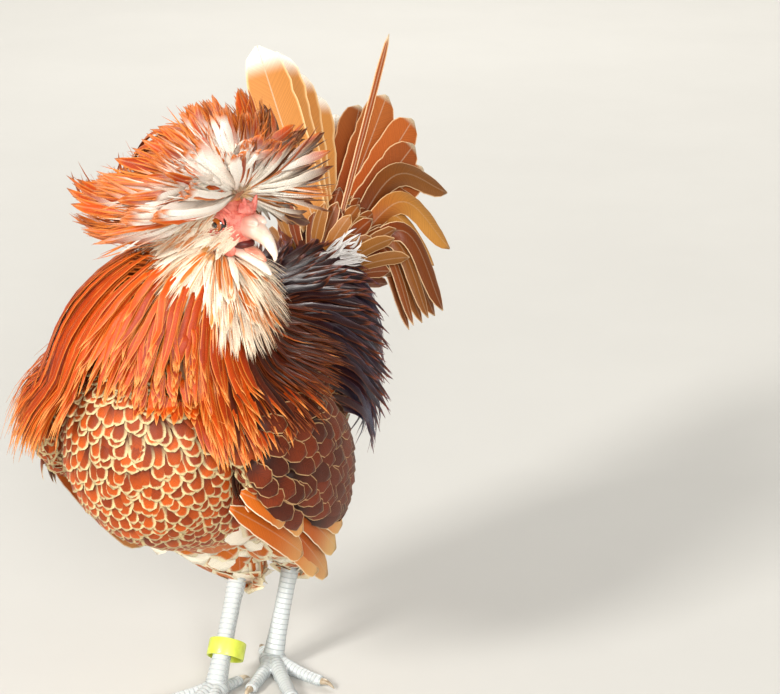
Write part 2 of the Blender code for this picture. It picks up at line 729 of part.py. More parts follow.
def crest_reach(turn):
    """How far the crest reaches at this angle from the head's forward direction."""
    front = 0.5 + 0.5 * math.cos(turn)
    rear = 0.5 - 0.5 * math.cos(turn)
    sideways = math.sin(turn) ** 2
    fore_and_aft = CREST_FRONT * front + CREST_BACK * rear
    return fore_and_aft * (1 - sideways) + CREST_SIDE * sideways


def crest_feathers(draw):
    """The crest's lances, which rise from the knob, arch over and hang at their ends."""
    knob = in_head(KNOB_AT)
    made = []
    for tier, (rise, count, share, half_width) in enumerate(CREST_TIERS):
        first = CREST_LOW_FRONT if tier == 0 else 0.0
        for k in range(count):
            place = (k + 0.15 * draw.random() + 0.5 * (tier % 2)) / count
            turn = first + (2 * math.pi - 2 * first) * place
            level = math.cos(turn) * FORWARD + math.sin(turn) * HEAD_LEFT
            lift = rise + CREST_WEAVE * (2 * (k % 2) - 1) + math.radians(1.5) * draw.normal()
            direction = math.cos(lift) * level + math.sin(lift) * HEAD_UP
            steep = math.sin(max(lift, 0.0)) ** CREST_ROUNDING
            reach = share * (crest_reach(turn) * (1 - steep) + CREST_TOP * steep)
            reach *= draw.uniform(0.88, 1.08)
            start = unit(direction + 0.42 * HEAD_UP)
            root = knob + (start @ AXES.T * np.array(KNOB)) @ AXES
            spine = smooth_lance(root, start, knob + direction * reach)
            across = np.cross(level, HEAD_UP)
            normals = [np.cross(across, level) + 0.4 * start] * len(spine)
            made.append(Feather(spine, normals, half_width * np.array(CREST_WIDTHS)))
    return made


def smooth_lance(root, start, tip, sink=0.007):
    """Spine of a feather that leaves its root by one direction and bends to its tip."""
    span = np.linalg.norm(tip - root)
    bend = root + start * span * 0.50
    spine = [root - start * sink]
    for t in (0.46, 0.86, 1.0):
        spine.append((1 - t) ** 2 * root + 2 * t * (1 - t) * bend + t * t * tip)
    return spine


# ---------------------------------------------------------- neck, wings and saddle
def hackle_feathers(neck, ground, draw):
    """The cape: long, narrow feathers from round the neck over breast, wings and back."""
    made = []
    for share, count, length, lift in HACKLE_ROWS:
        for k in range(count):
            spread = (k + 0.5 + 0.08 * draw.normal()) / count
            angle = math.radians(-90.0) + HACKLE_OPEN + (2 * math.pi - 2 * HACKLE_OPEN) * spread
            root, out, along = neck.spot(share, angle)
            span = length * draw.uniform(0.9, 1.1)
            spine, normals = lay((root, out), 0.6 * out - along, span, ground, lift, -0.5 * UP,
                                 flare=lift * TIP_LIFT)
            made.append(Feather(spine, normals, HACKLE_HALF_WIDTH * np.array(LANCE_WIDTHS)))
    return made


def saddle_feathers(torso, ground, draw):
    """The saddle's hackles, which fall from the rump to both sides and to the rear."""
    made = []
    for share, count, top_length, side_length, lift in SADDLE_ROWS:
        for k in range(count):
            spread = (k + 0.5 + 0.08 * draw.normal()) / count
            angle = SADDLE_LOW + (math.pi - 2 * SADDLE_LOW) * spread
            root, out, along = torso.spot(share, angle)
            down = np.array((math.copysign(1.0, math.cos(angle)), 0.0, 0.0)) * abs(math.cos(angle))
            heading = 0.6 * along + 0.8 * down + 0.1 * out
            span = top_length + (side_length - top_length) * abs(math.cos(angle))
            span *= draw.uniform(0.9, 1.1)
            spine, normals = lay((root, out), heading, span, ground, lift, -0.5 * UP, steps=3,
                                 flare=lift * TIP_LIFT)
            made.append(Feather(spine, normals, SADDLE_HALF_WIDTH * np.array(SHORT_LANCE_WIDTHS)))
    return made


def wing_loft(stations, side):
    """A wing's loft on one side of the bird."""
    table = np.array(stations)
    table[:, 0] *= side * WING_OUT[side]
    return Loft(table)


def wing_feathers(side, core, draw):
    """Flight feathers fanned from the wing, and rows of coverts over their roots."""
    mirror = np.array((side * WING_OUT[side], 1.0, 1.0))
    outward = np.array((side, 0.0, 0.0))
    made = []
    for k in range(FLIGHTS):
        share = k / (FLIGHTS - 1)
        root = smooth(FLIGHT_ROOTS, share)[0] * mirror
        tip = smooth(FLIGHT_TIPS, share)[0] * mirror
        layer = outward * FLIGHT_LAYER * (k - FLIGHTS / 2)
        middle = (root + tip) / 2 + outward * FLIGHT_BULGE
        spine = [root, root * 0.55 + middle * 0.45, middle, middle * 0.4 + tip * 0.6, tip]
        width = FLIGHT_HALF_WIDTH[0] + (FLIGHT_HALF_WIDTH[1] - FLIGHT_HALF_WIDTH[0]) * share
        normal = outward + 0.12 * UP
        spine = [p + layer for p in spine]
        made.append(Feather(spine, [normal] * 5, width * np.array(FLIGHT_WIDTHS)))
    ground = Ground([core.shell(7, 12)])
    for share, count, length, half_width, lift in COVERTS:
        for k in range(count):
            height = -0.80 + 1.60 * (k + 0.5) / count + 0.02 * draw.normal()
            angle = math.asin(height)
            angle = angle if side == LEFT else math.pi - angle
            root, out, along = core.spot(share, angle)
            heading = along + 0.15 * out - 0.25 * height * UP
            height_over = lift + COVERT_LAYER * (k % 2)
            spine, normals = lay((root, out), heading, length, ground, height_over, (0, 0, 0), steps=3)
            made.append(Feather(spine, normals, half_width * np.array(COVERT_WIDTHS)))
    return made


# ------------------------------------------------------------------------- the tail
def tail_feathers():
    """The fanned main feathers and the sickles that arch over them."""
    made = []
    for side in (RIGHT, LEFT):
        normal = unit(VANE_FACES[side])
        for k, (tip, half_width) in enumerate(RECTRICES[side]):
            base = TAIL_BASE + BACK * FAN_PARTED * (side == RIGHT) + normal * RECTRIX_LAYER * k
            spine = [base + np.array(tip) * t + BACK * FAN_BOW * t * t for t in (0.0, 0.52, 0.92, 1.0)]
            made.append(Feather(spine, [normal] * 4, half_width * np.array(RECTRIX_WIDTHS)))
    for side in (RIGHT, LEFT):
        for k, (middle, end, half_width) in enumerate(SICKLES):
            mirror = np.array((side, 1.0, 1.0))
            outward, down = SICKLE_ROOT_OUT + SICKLE_STEP * k, SICKLE_STEP * k
            start = TAIL_BASE + np.array((side * outward, SICKLE_ROOT_BACK[side], -down))
            route = np.array([start, start + np.array(middle) * mirror, start + np.array(end) * mirror])
            spine = smooth(route, (0.0, 0.28, 0.52, 0.78, 1.0))
            faces = [SICKLE_FACES[side]] * len(spine)
            made.append(Feather(spine, faces, half_width * np.array(SICKLE_WIDTHS)))
    return made


# ------------------------------------------------------------------------- the legs
def shank_axis(side):
    """The ankle and the hock, the two ends of a shank."""
    return np.array((*FOOT_AT[side], ANKLE_RADIUS)), np.array(HOCK_AT[side])


def shank(side, grow=0.0):
    """The scaly leg below the feathers, wider at the ankle and the hock."""
    ankle, hock = shank_axis(side)
    points = [ankle + (hock - ankle) * t for t in (0.0, 0.12, 0.35, 0.7, 0.92, 1.06)]
    radii = (ANKLE_RADIUS, 0.0072, SHANK_RADIUS, SHANK_RADIUS, 0.0078, 0.0070)
    return rod(points, radii, grow, resolution=3)


def thigh(side):
    """The feathered leg from inside the flank to the hock."""
    hip, hock = np.array(HIP_AT[side]), np.array(HOCK_AT[side])
    upward = unit(hip - hock)
    middle = hip * 0.45 + hock * 0.55
    return Loft((
        (*(hip + upward * THIGH_RADIUS), 0.0, 0.0),
        (*hip, THIGH_RADIUS, THIGH_RADIUS * 1.1),
        (*middle, THIGH_RADIUS * 0.72, THIGH_RADIUS * 0.82),
        (*hock, HOCK_RADIUS, HOCK_RADIUS),
        (*(hock - upward * 0.016), 0.0, 0.0),
    ), up=BACK)


def toe_line(side, angle, length, radius):
    """The bent axis of a toe up to its claw, and the direction it points in."""
    turn = FOOT_TURN[side] - side * angle
    ahead = np.array((math.sin(turn), -math.cos(turn), 0.0))
    ankle = np.array((*FOOT_AT[side], 0.0))
    heights = (ANKLE_RADIUS, radius * 1.2, radius * 0.84, radius * 0.84)
    shares = (0.06, 0.36, 0.72, 1.0)
    return [ankle + ahead * length * t + UP * z for t, z in zip(shares, heights)], ahead


def make_foot(bird, word, side):
    """Ankle and toes, flat below, and the four claws."""
    toes = []
    for name, angle, length, radius in TOES:
        points, ahead = toe_line(side, angle, length, radius)
        toes.append(on_floor(rod(points, [radius * k for k in TOE_TAPER])))
        root = points[-1] + ahead * GAP
        lifts = (0.0, 0.0, -0.0004, -0.0018)
        axis = [root + ahead * CLAW_LENGTH * t + UP * z for t, z in zip((0.0, 0.35, 0.7, 1.0), lifts)]
        claw = on_floor(rod(axis, [CLAW_RADIUS * k for k in CLAW_TAPER], resolution=1))
        bird.node(f"claw_{word}_{name}", claw, "horn")
    ankle = (*FOOT_AT[side], ANKLE_RADIUS * 0.9)
    pad = on_floor(globe(ankle, FOOT_PAD, sides=10, rings=5))
    bird.node(f"foot_{word}", pad, "slate_scale", toes, [shank(side, GAP)])


def make_band(bird):
    """A flat plastic ring that rests loosely against the right shank."""
    ankle, hock = shank_axis(RIGHT)
    axis = unit(hock - ankle)
    slack = BAND_RADIUS - BAND_WALL - SHANK_RADIUS - GAP * 2
    middle = ankle + (hock - ankle) * BAND_AT + unit(np.cross(axis, (1.0, 0.0, 0.0))) * slack
    ring = bmesh.new()
    bmesh.ops.create_cone(ring, cap_ends=False, segments=24, radius1=BAND_RADIUS,
                          radius2=BAND_RADIUS, depth=BAND_HEIGHT)
    mesh = bpy.data.meshes.new("leg_band")
    ring.to_mesh(mesh)
    ring.free()
    obj = bpy.data.objects.new("leg_band", mesh)
    bird.parts.objects.link(obj)
    wall = obj.modifiers.new("wall", "SOLIDIFY")
    wall.thickness = BAND_WALL
    wall.offset = -1.0
    graph = bpy.context.evaluated_depsgraph_get()
    obj.data = bpy.data.meshes.new_from_object(obj.evaluated_get(graph))
    obj.modifiers.clear()
    turn = Vector(UP).rotation_difference(Vector(axis)).to_matrix().to_4x4()
    obj.data.transform(Matrix.Translation(middle) @ turn)
    obj.data.materials.clear()
    obj.data.materials.append(material("band_plastic"))


# ------------------------------------------------------------------------- the bird
def rooms(feathers):
    """What feathers take up, with the gap round them."""
    return [feather.shell(GAP) for feather in feathers]


def shells(feathers):
    """The feathers as they are."""
    return [feather.shell() for feather in feathers]


def build():
    """Makes every node."""
    clear_scene()
    draw = np.random.default_rng(SEED)
    bird = Bird()
    torso, neck = Loft(TORSO), Loft(NECK, up=BACK)
    rump_from = RUMP_FROM + GAP / TORSO_LENGTH
    body_room = [torso.shell(13, 24, GAP, end=RUMP_FROM), torso.shell(7, 24, GAP, start=rump_from)]
    bird.node("torso", torso.shell(13, 24, end=RUMP_FROM), "buff_red_plumage")
    face_room = make_head(bird)

    thighs, wing_rooms = [], []
    for word, side in SIDES.items():
        leg = thigh(side)
        bird.node(f"thigh_{word}", leg.shell(6, 12), "cream_plumage",
                  cut=[*body_room, shank(side, GAP), *thighs])
        thighs.append(leg.shell(6, 12, GAP))
        bird.node(f"shank_{word}", shank(side), "slate_scale")
        make_foot(bird, word, side)
    make_band(bird)

    for word, side in SIDES.items():
        core = wing_loft(WING, side)
        feathers = wing_feathers(side, core, draw)
        bird.node(f"wing_{word}", core.shell(7, 12), "buff_red_plumage", shells(feathers),
                  [*body_room, *thighs])
        wing_rooms += [core.shell(7, 12, GAP), *rooms(feathers)]
    covers = [wing_loft(WING_COVER, side).shell(9, 16) for side in (RIGHT, LEFT)]

    bell = Loft(NECK_COVER, up=BACK)
    ground = Ground([torso.shell(16, 28), *covers])
    cape_ground = Ground([torso.shell(16, 28), *covers, bell.shell(12, 24)])
    hackle = hackle_feathers(neck, cape_ground, draw)
    neck_core = neck.shell(7, 14)
    bird.node("neck", neck_core, "buff_red_plumage", shells(hackle),
              [*body_room, *face_room, *wing_rooms])
    neck_rooms = [neck.shell(7, 14, GAP), *rooms(hackle)]

    saddle = saddle_feathers(torso, ground, draw)
    bird.node("rump", torso.shell(7, 24, start=rump_from), "buff_red_plumage", shells(saddle),
              [torso.shell(13, 24, GAP, end=RUMP_FROM), *wing_rooms, *thighs, *neck_rooms])
    rump_rooms = [torso.shell(7, 24, GAP, start=rump_from), *rooms(saddle)]

    tail = tail_feathers()
    tail_core = Loft(TAIL_CORE, up=BACK)
    bird.node("tail", tail_core.shell(6, 16), "buff_red_plumage", shells(tail), rump_rooms)
    tail_rooms = [tail_core.shell(6, 16, GAP), *rooms(tail)]

    beard_core = head_loft(BEARD_CORE)
    muffs = [head_globe(MUFF_AT, MUFF, side, sides=8, rings=5) for side in (RIGHT, LEFT)]
    muff_rooms = [head_globe(MUFF_AT, MUFF, side, GAP, sides=8, rings=5) for side in (RIGHT, LEFT)]
    beard = beard_feathers(draw)
    bird.node("beard", beard_core.shell(5, 9), "cream_plumage", [*muffs, *shells(beard)],
              [*face_room, *neck_rooms])
    beard_rooms = [beard_core.shell(5, 9, GAP), *muff_rooms, *rooms(beard)]

    crest = crest_feathers(draw)
    bird.node("crest", head_globe(KNOB_AT, KNOB, sides=12, rings=6), "cream_plumage", shells(crest),
              [*face_room, *beard_rooms, *neck_rooms, *tail_rooms])
    bird.stand_on_origin()


build()
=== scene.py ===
"""Looks of a bearded, crested cock with buff lacing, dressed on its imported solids.

Metres, +Z up. The cock's breast faces -Y and its left side is +X. All shapes are
worked out in the bird's own axes, whose origin is on the floor between its feet,
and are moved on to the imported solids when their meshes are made.
"""
from __future__ import annotations

import logging
import math
from dataclasses import dataclass, replace
from enum import Enum
from typing import Iterable

import bpy
import numpy as np
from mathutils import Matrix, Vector
from mathutils.bvhtree import BVHTree

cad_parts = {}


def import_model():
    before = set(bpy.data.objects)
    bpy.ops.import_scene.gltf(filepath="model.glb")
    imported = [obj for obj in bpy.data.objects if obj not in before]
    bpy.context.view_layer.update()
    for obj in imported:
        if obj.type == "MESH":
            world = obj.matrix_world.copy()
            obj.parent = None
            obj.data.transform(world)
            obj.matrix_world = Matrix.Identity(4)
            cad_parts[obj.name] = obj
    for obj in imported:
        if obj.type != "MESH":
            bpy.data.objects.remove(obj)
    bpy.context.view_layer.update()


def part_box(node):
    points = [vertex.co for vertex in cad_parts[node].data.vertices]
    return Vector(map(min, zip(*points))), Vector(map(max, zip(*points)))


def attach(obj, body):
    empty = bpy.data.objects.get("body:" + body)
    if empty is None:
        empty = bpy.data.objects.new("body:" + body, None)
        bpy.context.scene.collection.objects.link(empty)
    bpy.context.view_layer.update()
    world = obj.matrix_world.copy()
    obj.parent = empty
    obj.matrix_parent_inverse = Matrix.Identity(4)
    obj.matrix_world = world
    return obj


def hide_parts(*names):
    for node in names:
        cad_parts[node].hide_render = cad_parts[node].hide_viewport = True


log = logging.getLogger("cock")

Array = np.ndarray
MM = 1e-3
RIGHT, LEFT = -1.0, 1.0  # the sign of x on each side of the bird
UP = np.array((0.0, 0.0, 1.0))
BACK = np.array((0.0, 1.0, 0.0))
OUT = np.array((1.0, 0.0, 0.0))  # to the bird's left
PARTING = 0.22  # where the cape parts over the throat, in radians to the left of the front
BAKE_MAP = "OFBake"
PATCH = 0.003  # how wide each feather is on the bake map
SEED = 11  # of the one row of random draws that all sub-assemblies share


# ------------------------------------------------------------------ small geometry
def unit(vectors: Array) -> Array:
    """The vectors at length one."""
    vectors = np.asarray(vectors, float)
    return vectors / np.maximum(np.linalg.norm(vectors, axis=-1, keepdims=True), 1e-12)


def ease(value: Array, low: Array | float, high: Array | float) -> Array:
    """A smooth step: 0 below low, 1 above high, and 3t^2 - 2t^3 between them."""
    t = np.clip((np.asarray(value, float) - low) / (high - low), 0.0, 1.0)
    return t * t * (3.0 - 2.0 * t)


def hill(value: Array, foot: float, top: float, edge: float, end: float) -> Array:
    """A smooth hill: 0 up to its foot, 1 from top to edge, and 0 again from its end."""
    return ease(value, foot, top) * (1 - ease(value, edge, end))


def turns(sides: int) -> Array:
    """So many angles evenly round a circle, from 0."""
    return np.arange(sides) * 2 * math.pi / sides


def spline(knots: Array, share: Array) -> Array:
    """Points on a Catmull-Rom curve through the knots.

    Between two knots the curve is a cubic whose slope at each knot is half the
    difference of that knot's two neighbours.

    Args:
        knots: The values the curve passes through, one row each.
        share: Places along the curve, 0 at the first knot and 1 at the last.

    Returns:
        One row for each share.
    """
    knots = np.asarray(knots, float)
    spans = len(knots) - 1
    place = np.clip(np.atleast_1d(np.asarray(share, float)) * spans, 0.0, spans)
    k = np.minimum(place.astype(int), spans - 1)
    t = (place - k)[:, None]
    padded = np.vstack([2 * knots[0] - knots[1], knots, 2 * knots[-1] - knots[-2]])
    a, b, c, d = (padded[k + i] for i in range(4))
    bend = 2 * a - 5 * b + 4 * c - d
    twist = 3 * b - a - 3 * c + d
    return 0.5 * (2 * b + (c - a) * t + bend * t**2 + twist * t**3)


def linear(code: str) -> tuple[float, float, float, float]:
    """An sRGB hex colour as the linear colour that shaders take.

    Up to 0.04045 a value is divided by 12.92, and above that it becomes
    ((value + 0.055) / 1.055) ^ 2.4, as the sRGB norm says.

    Args:
        code: The colour as "#RRGGBB".

    Returns:
        Red, green, blue and an alpha of one.
    """
    values = [int(code[i : i + 2], 16) / 255 for i in (1, 3, 5)]
    shade = [v / 12.92 if v <= 0.04045 else ((v + 0.055) / 1.055) ** 2.4 for v in values]
    return (*shade, 1.0)


# --------------------------------------------------------------------- mesh making
@dataclass
class Shape:
    """Points and the faces between them, before they become a mesh."""

    verts: Array
    faces: list[Array]

    @staticmethod
    def joined(parts: Iterable["Shape"]) -> "Shape":
        """All the shapes as one, with the numbers of their points moved on.

        Args:
            parts: The shapes.

        Returns:
            One shape with all their points and faces.
        """
        verts: list[Array] = []
        faces: list[Array] = []
        count = 0
        for part in parts:
            verts.append(part.verts)
            faces += [block + count for block in part.faces]
            count += len(part.verts)
        return Shape(np.vstack(verts), faces)

    @staticmethod
    def closed(rings: Array, ends: Array, sides: int) -> "Shape":
        """A body of rings that a fan closes at each end.

        Args:
            rings: The rings' points, one ring after the other.
            ends: The two points in which the fans meet.
            sides: How many points a ring has.

        Returns:
            The closed body.
        """
        rows = len(rings) // sides
        ring = np.arange(sides)
        after, last = (ring + 1) % sides, (rows - 1) * sides
        fans = [np.stack([ring, after, np.full(sides, rows * sides)], -1),
                np.stack([last + after, last + ring, np.full(sides, rows * sides + 1)], -1)]
        return Shape(np.vstack([rings, ends]), [grid_faces(rows, sides)[:, ::-1], *fans])


@dataclass
class Workshop:
    """What every sub-assembly needs: the seeded draw and the way on to the solids."""

    offset: Array
    draw: np.random.Generator

    def mesh(self, name: str, shape: Shape) -> bpy.types.Object:
        """Puts a shape into a new smooth mesh object that stands at the origin.

        Args:
            name: The object's name.
            shape: Its points in the bird's axes, and its faces.

        Returns:
            The linked object.
        """
        data = bpy.data.meshes.new(name)
        counts = np.concatenate([np.full(len(block), block.shape[1]) for block in shape.faces])
        corners = np.concatenate([block.ravel() for block in shape.faces])
        data.vertices.add(len(shape.verts))
        data.loops.add(len(corners))
        data.polygons.add(len(counts))
        data.vertices.foreach_set("co", (shape.verts + self.offset).astype(np.float32).ravel())
        data.loops.foreach_set("vertex_index", corners.astype(np.int32))
        starts = np.concatenate([[0], np.cumsum(counts)[:-1]])
        data.polygons.foreach_set("loop_start", starts.astype(np.int32))
        data.polygons.foreach_set("loop_total", counts.astype(np.int32))
        data.polygons.foreach_set("use_smooth", np.ones(len(counts), bool))
        data.update(calc_edges=True)
        obj = bpy.data.objects.new(name, data)
        bpy.context.scene.collection.objects.link(obj)
        return obj

    def places(self, obj: bpy.types.Object) -> Array:
        """Where the points of a mesh are in the bird's axes."""
        return vertex_rows(obj, "co") - self.offset

    def move(self, obj: bpy.types.Object, places: Array) -> None:
        """Puts the points of a mesh at new places in the bird's axes."""
        obj.data.vertices.foreach_set("co", (places + self.offset).ravel())
        obj.data.update()

    def keep(self, obj: bpy.types.Object, slot: str, *nodes: str) -> bpy.types.Object:
        """Lets a finished piece ride on the bird and stand for CAD nodes.

        Args:
            obj: The piece.
            slot: Not used.
            *nodes: The CAD nodes that it replaces.

        Returns:
            The same object.
        """
        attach(obj, "root")
        if nodes:
            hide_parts(*nodes)
        count = sum(len(face.vertices) - 2 for face in obj.data.polygons)
        log.info("%s: %d triangles", obj.name, count)
        return obj


def vertex_rows(obj: bpy.types.Object, key: str) -> Array:
    """Reads a vector for each point of a mesh.

    Args:
        obj: The object.
        key: "co" for its points' places, or "normal" for their smooth normals.

    Returns:
        One row for each point.
    """
    values = np.empty(len(obj.data.vertices) * 3)
    obj.data.vertices.foreach_get(key, values)
    return values.reshape(-1, 3)


def attribute(obj: bpy.types.Object, name: str, values: Array) -> None:
    """Stores one number for each point of a mesh, for its material to read."""
    made = obj.data.attributes.new(name, "FLOAT", "POINT")
    made.data.foreach_set("value", np.asarray(values, np.float32).ravel())


def bake_map(obj: bpy.types.Object, places: Array) -> None:
    """Stores a place on the bake map for each point of a mesh.

    Args:
        obj: The object.
        places: One row of two for each point.
    """
    corners = np.empty(len(obj.data.loops), np.int32)
    obj.data.loops.foreach_get("vertex_index", corners)
    layer = obj.data.uv_layers.new(name=BAKE_MAP)
    layer.data.foreach_set("uv", np.asarray(places, np.float32)[corners].ravel())


def painted(obj: bpy.types.Object, finish: "Feathering | Hide | Iris") -> bpy.types.Object:
    """Gives a mesh one finish and no other.

    Args:
        obj: The object.
        finish: Its finish.

    Returns:
        The same object.
    """
    obj.data.materials.clear()
    obj.data.materials.append(finish.material())
    return obj


def grid_faces(rows: int, sides: int) -> Array:
    """Quads between the rings of a grid.

    Args:
        rows: How many rings it has.
        sides: How many points a ring has.

    Returns:
        One row of four point numbers for each quad.
    """
    ring = np.arange(sides)
    after = (ring + 1) % sides
    low = np.arange(rows - 1)[:, None] * sides
    quads = [low + ring, low + after, low + sides + after, low + sides + ring]
    return np.stack(quads, -1).reshape(-1, 4)


@dataclass(frozen=True)
class Loft:
    """A rounded body of elliptical sections along a bent axis.

    A section's point is centre + width cos(angle) side + height sin(angle) up. The
    squares of width and height follow the spline, which rounds both ends. A station is
    its centre's x, y and z, half its width and half its height.
    """

    stations: tuple[tuple[float, ...], ...]
    up: tuple[float, float, float] = (0.0, 0.0, 1.0)

    STEP = 1e-3  # how far apart on the axis two points are that give its direction
    LEAST = 1e-5  # half width and height of the narrowest section

    def points(self, share: Array, angle: Array, grow: float = 0.0) -> Array:
        """Points on the surface, one for each share of the axis and angle round it.

        Args:
            share: Places on the axis, from 0 to 1.
            angle: Angles round it, from the side towards up.
            grow: How far off the surface the points are.

        Returns:
            One row for each point.
        """
        table = np.array(self.stations)
        share = np.atleast_1d(np.asarray(share, float))
        ahead = spline(table[:, :3], np.minimum(share + self.STEP, 1.0))
        forward = unit(ahead - spline(table[:, :3], np.maximum(share - self.STEP, 0.0)))
        side = unit(np.cross(forward, np.array(self.up)))
        up = np.cross(side, forward)
        half = np.sqrt(np.maximum(spline(table[:, 3:5] ** 2, share), 0.0)) + grow
        half = np.maximum(half, self.LEAST)
        turn = np.atleast_1d(np.asarray(angle, float))[:, None]
        across = half[:, :1] * np.cos(turn) * side + half[:, 1:] * np.sin(turn) * up
        return spline(table[:, :3], share) + across

    def along(self, share: Array, angle: Array, step: float = 0.005) -> Array:
        """Directions over the surface away from the loft's first end."""
        return unit(self.points(share + step, angle) - self.points(share, angle))

    def shape(self, rings: int, sides: int, grow: float = 0.0) -> Shape:
        """The closed surface. Its rings are closer together towards both ends.

        Args:
            rings: How many rings it has.
            sides: How many points a ring has.
            grow: How far off the loft's own surface it lies.

        Returns:
            The closed body.
        """
        share = (1 - np.cos(np.linspace(0.0, math.pi, rings + 2)[1:-1])) / 2
        body = self.points(np.repeat(share, sides), np.tile(turns(sides), rings), grow)
        ends = np.array(self.stations)[[0, -1], :3]
        reach = unit(ends - np.array(self.stations)[[1, -2], :3]) * grow
        return Shape.closed(body, ends + reach, sides)

    def scatter(self, spacing: float, draw: np.random.Generator, first: float = 0.0,
                last: float = 1.0, grow: float = 0.0) -> tuple[Array, Array, Array]:
        """Even, staggered places over the surface, row by row.

        Rows lie 0.87 spacings apart along the body, and each holds as many places as
        its girth has spacings, turned by half a place from the row before. Each place
        is moved by up to 0.3 spacings.

        Args:
            spacing: Distance between neighbours, in metres.
            draw: The seeded draw.
            first: Share of the axis where the rows begin.
            last: Share of the axis where they end.
            grow: How far above the body the places lie.

        Returns:
            The points, their shares of the axis and their angles.
        """
        row_gap, jitter, fine_rows, fine_sides = 0.87, 0.3, 240, 33
        fine = np.linspace(first, last, fine_rows)
        round_it = np.linspace(0.0, 2 * math.pi, fine_sides)
        rim = self.points(np.repeat(fine, fine_sides), np.tile(round_it, fine_rows), grow)
        rim = rim.reshape(fine_rows, fine_sides, 3)
        step = np.linalg.norm(np.diff(rim, axis=0), axis=2).mean(axis=1)
        run = np.concatenate([[0.0], np.cumsum(step)])
        girth = np.linalg.norm(np.diff(rim, axis=1), axis=2).sum(axis=1)
        rows = max(2, round(run[-1] / (row_gap * spacing)))
        shares: list[Array] = []
        angles: list[Array] = []
        for row in range(rows):
            share = np.interp((row + 0.5) / rows * run[-1], run, fine)
            count = max(1, round(np.interp(share, fine, girth) / spacing))
            moved = jitter * draw.uniform(-1, 1, (2, count))
            angles.append((np.arange(count) + 0.5 * (row % 2) + moved[0]) * 2 * math.pi / count)
            along = share + moved[1] * (last - first) / rows
            shares.append(np.clip(along, 1e-3, 1 - 1e-3))
        share, angle = np.concatenate(shares), np.concatenate(angles)
        return self.points(share, angle, grow), share, angle


def ball(centre: Array, radii: Array, axes: Array | None = None, rings: int = 16,
         sides: int = 24) -> Shape:
    """A globe stretched along three axes: centre + radii times a unit sphere's points.

    Args:
        centre: Its middle.
        radii: Its reach along each axis.
        axes: The three axes as rows. Without them they are the bird's.
        rings: How many rings it has.
        sides: How many points a ring has.

    Returns:
        The closed globe.
    """
    tilt = np.linspace(0.0, math.pi, rings + 2)[1:-1]
    t, s = np.meshgrid(tilt, turns(sides), indexing="ij")
    body = np.stack([np.sin(t) * np.cos(s), np.sin(t) * np.sin(s), np.cos(t)], -1).reshape(-1, 3)
    verts = np.vstack([body, (0.0, 0.0, 1.0), (0.0, 0.0, -1.0)]) * np.asarray(radii)
    verts = np.asarray(centre) + verts @ (np.eye(3) if axes is None else axes)
    return Shape.closed(verts[:-2], verts[-2:], sides)


def tube(path: Array, radii: Array, sides: int = 20, up: Array = UP, flat: float = 1.0) -> Shape:
    """A rod of round sections: path + radius (cos(turn) side + flat sin(turn) rise).

    Args:
        path: Points of its axis.
        radii: The radius at each point, or one row of radii round each section.
        sides: How many points a section has.
        up: What the sections' rise leans to.
        flat: Height of a section over its width.

    Returns:
        The closed rod.
    """
    path = np.asarray(path, float)
    along = unit(np.gradient(path, axis=0))
    side = unit(np.cross(along, up))
    rise = np.cross(side, along)
    turn = turns(sides)
    radii = np.asarray(radii, float)
    radii = radii[:, None] * np.ones(sides) if radii.ndim == 1 else radii
    across = np.cos(turn)[:, None] * side[:, None] + flat * np.sin(turn)[:, None] * rise[:, None]
    verts = (path[:, None] + radii[..., None] * across).reshape(-1, 3)
    return Shape.closed(verts, path[[0, -1]], sides)


def remeshed(obj: bpy.types.Object, voxel: float, smoothing: int) -> bpy.types.Object:
    """Fuses all that a mesh holds into one even surface and smooths it.

    Args:
        obj: The object, whose mesh is exchanged.
        voxel: Size of the new faces.
        smoothing: How many rounds of smoothing follow.

    Returns:
        The same object.
    """
    fuse = obj.modifiers.new("fuse", "REMESH")
    fuse.mode = "VOXEL"
    fuse.voxel_size = voxel
    fuse.use_smooth_shade = True
    relax = obj.modifiers.new("relax", "SMOOTH")
    relax.factor = 0.5
    relax.iterations = smoothing
    graph = bpy.context.evaluated_depsgraph_get()
    data = bpy.data.meshes.new_from_object(obj.evaluated_get(graph))
    obj.modifiers.clear()
    obj.data = data
    return obj


# ------------------------------------------------------------------------ finishes
def add_node(tree: bpy.types.NodeTree, kind: str, inputs: dict | None = None,
             **settings: object) -> bpy.types.Node:
    """Adds a node with its settings, values and links.

    Args:
        tree: The tree it goes into.
        kind: Blender's name of the node.
        inputs: Values or sockets, by the name or number of the node's own socket.
        **settings: The node's properties.

    Returns:
        The node.
    """
    node = tree.nodes.new(kind)
    for name, value in settings.items():
        setattr(node, name, value)
    for key, value in (inputs or {}).items():
        if isinstance(value, bpy.types.NodeSocket):
            tree.links.new(value, node.inputs[key])
        else:
            node.inputs[key].default_value = value
    return node


def blank_material(name: str, *keys: str) -> tuple[bpy.types.Material, list[bpy.types.NodeSocket]]:
    """A material without nodes but those that read numbers off the mesh.

    Args:
        name: Its name.
        *keys: The names of the numbers.

    Returns:
        The material, and one socket for each number.
    """
    made = bpy.data.materials.new(name)
    made.use_nodes = True
    made.node_tree.nodes.clear()
    return made, [add_node(made.node_tree, "ShaderNodeAttribute", attribute_name=key).outputs["Fac"]
                  for key in keys]


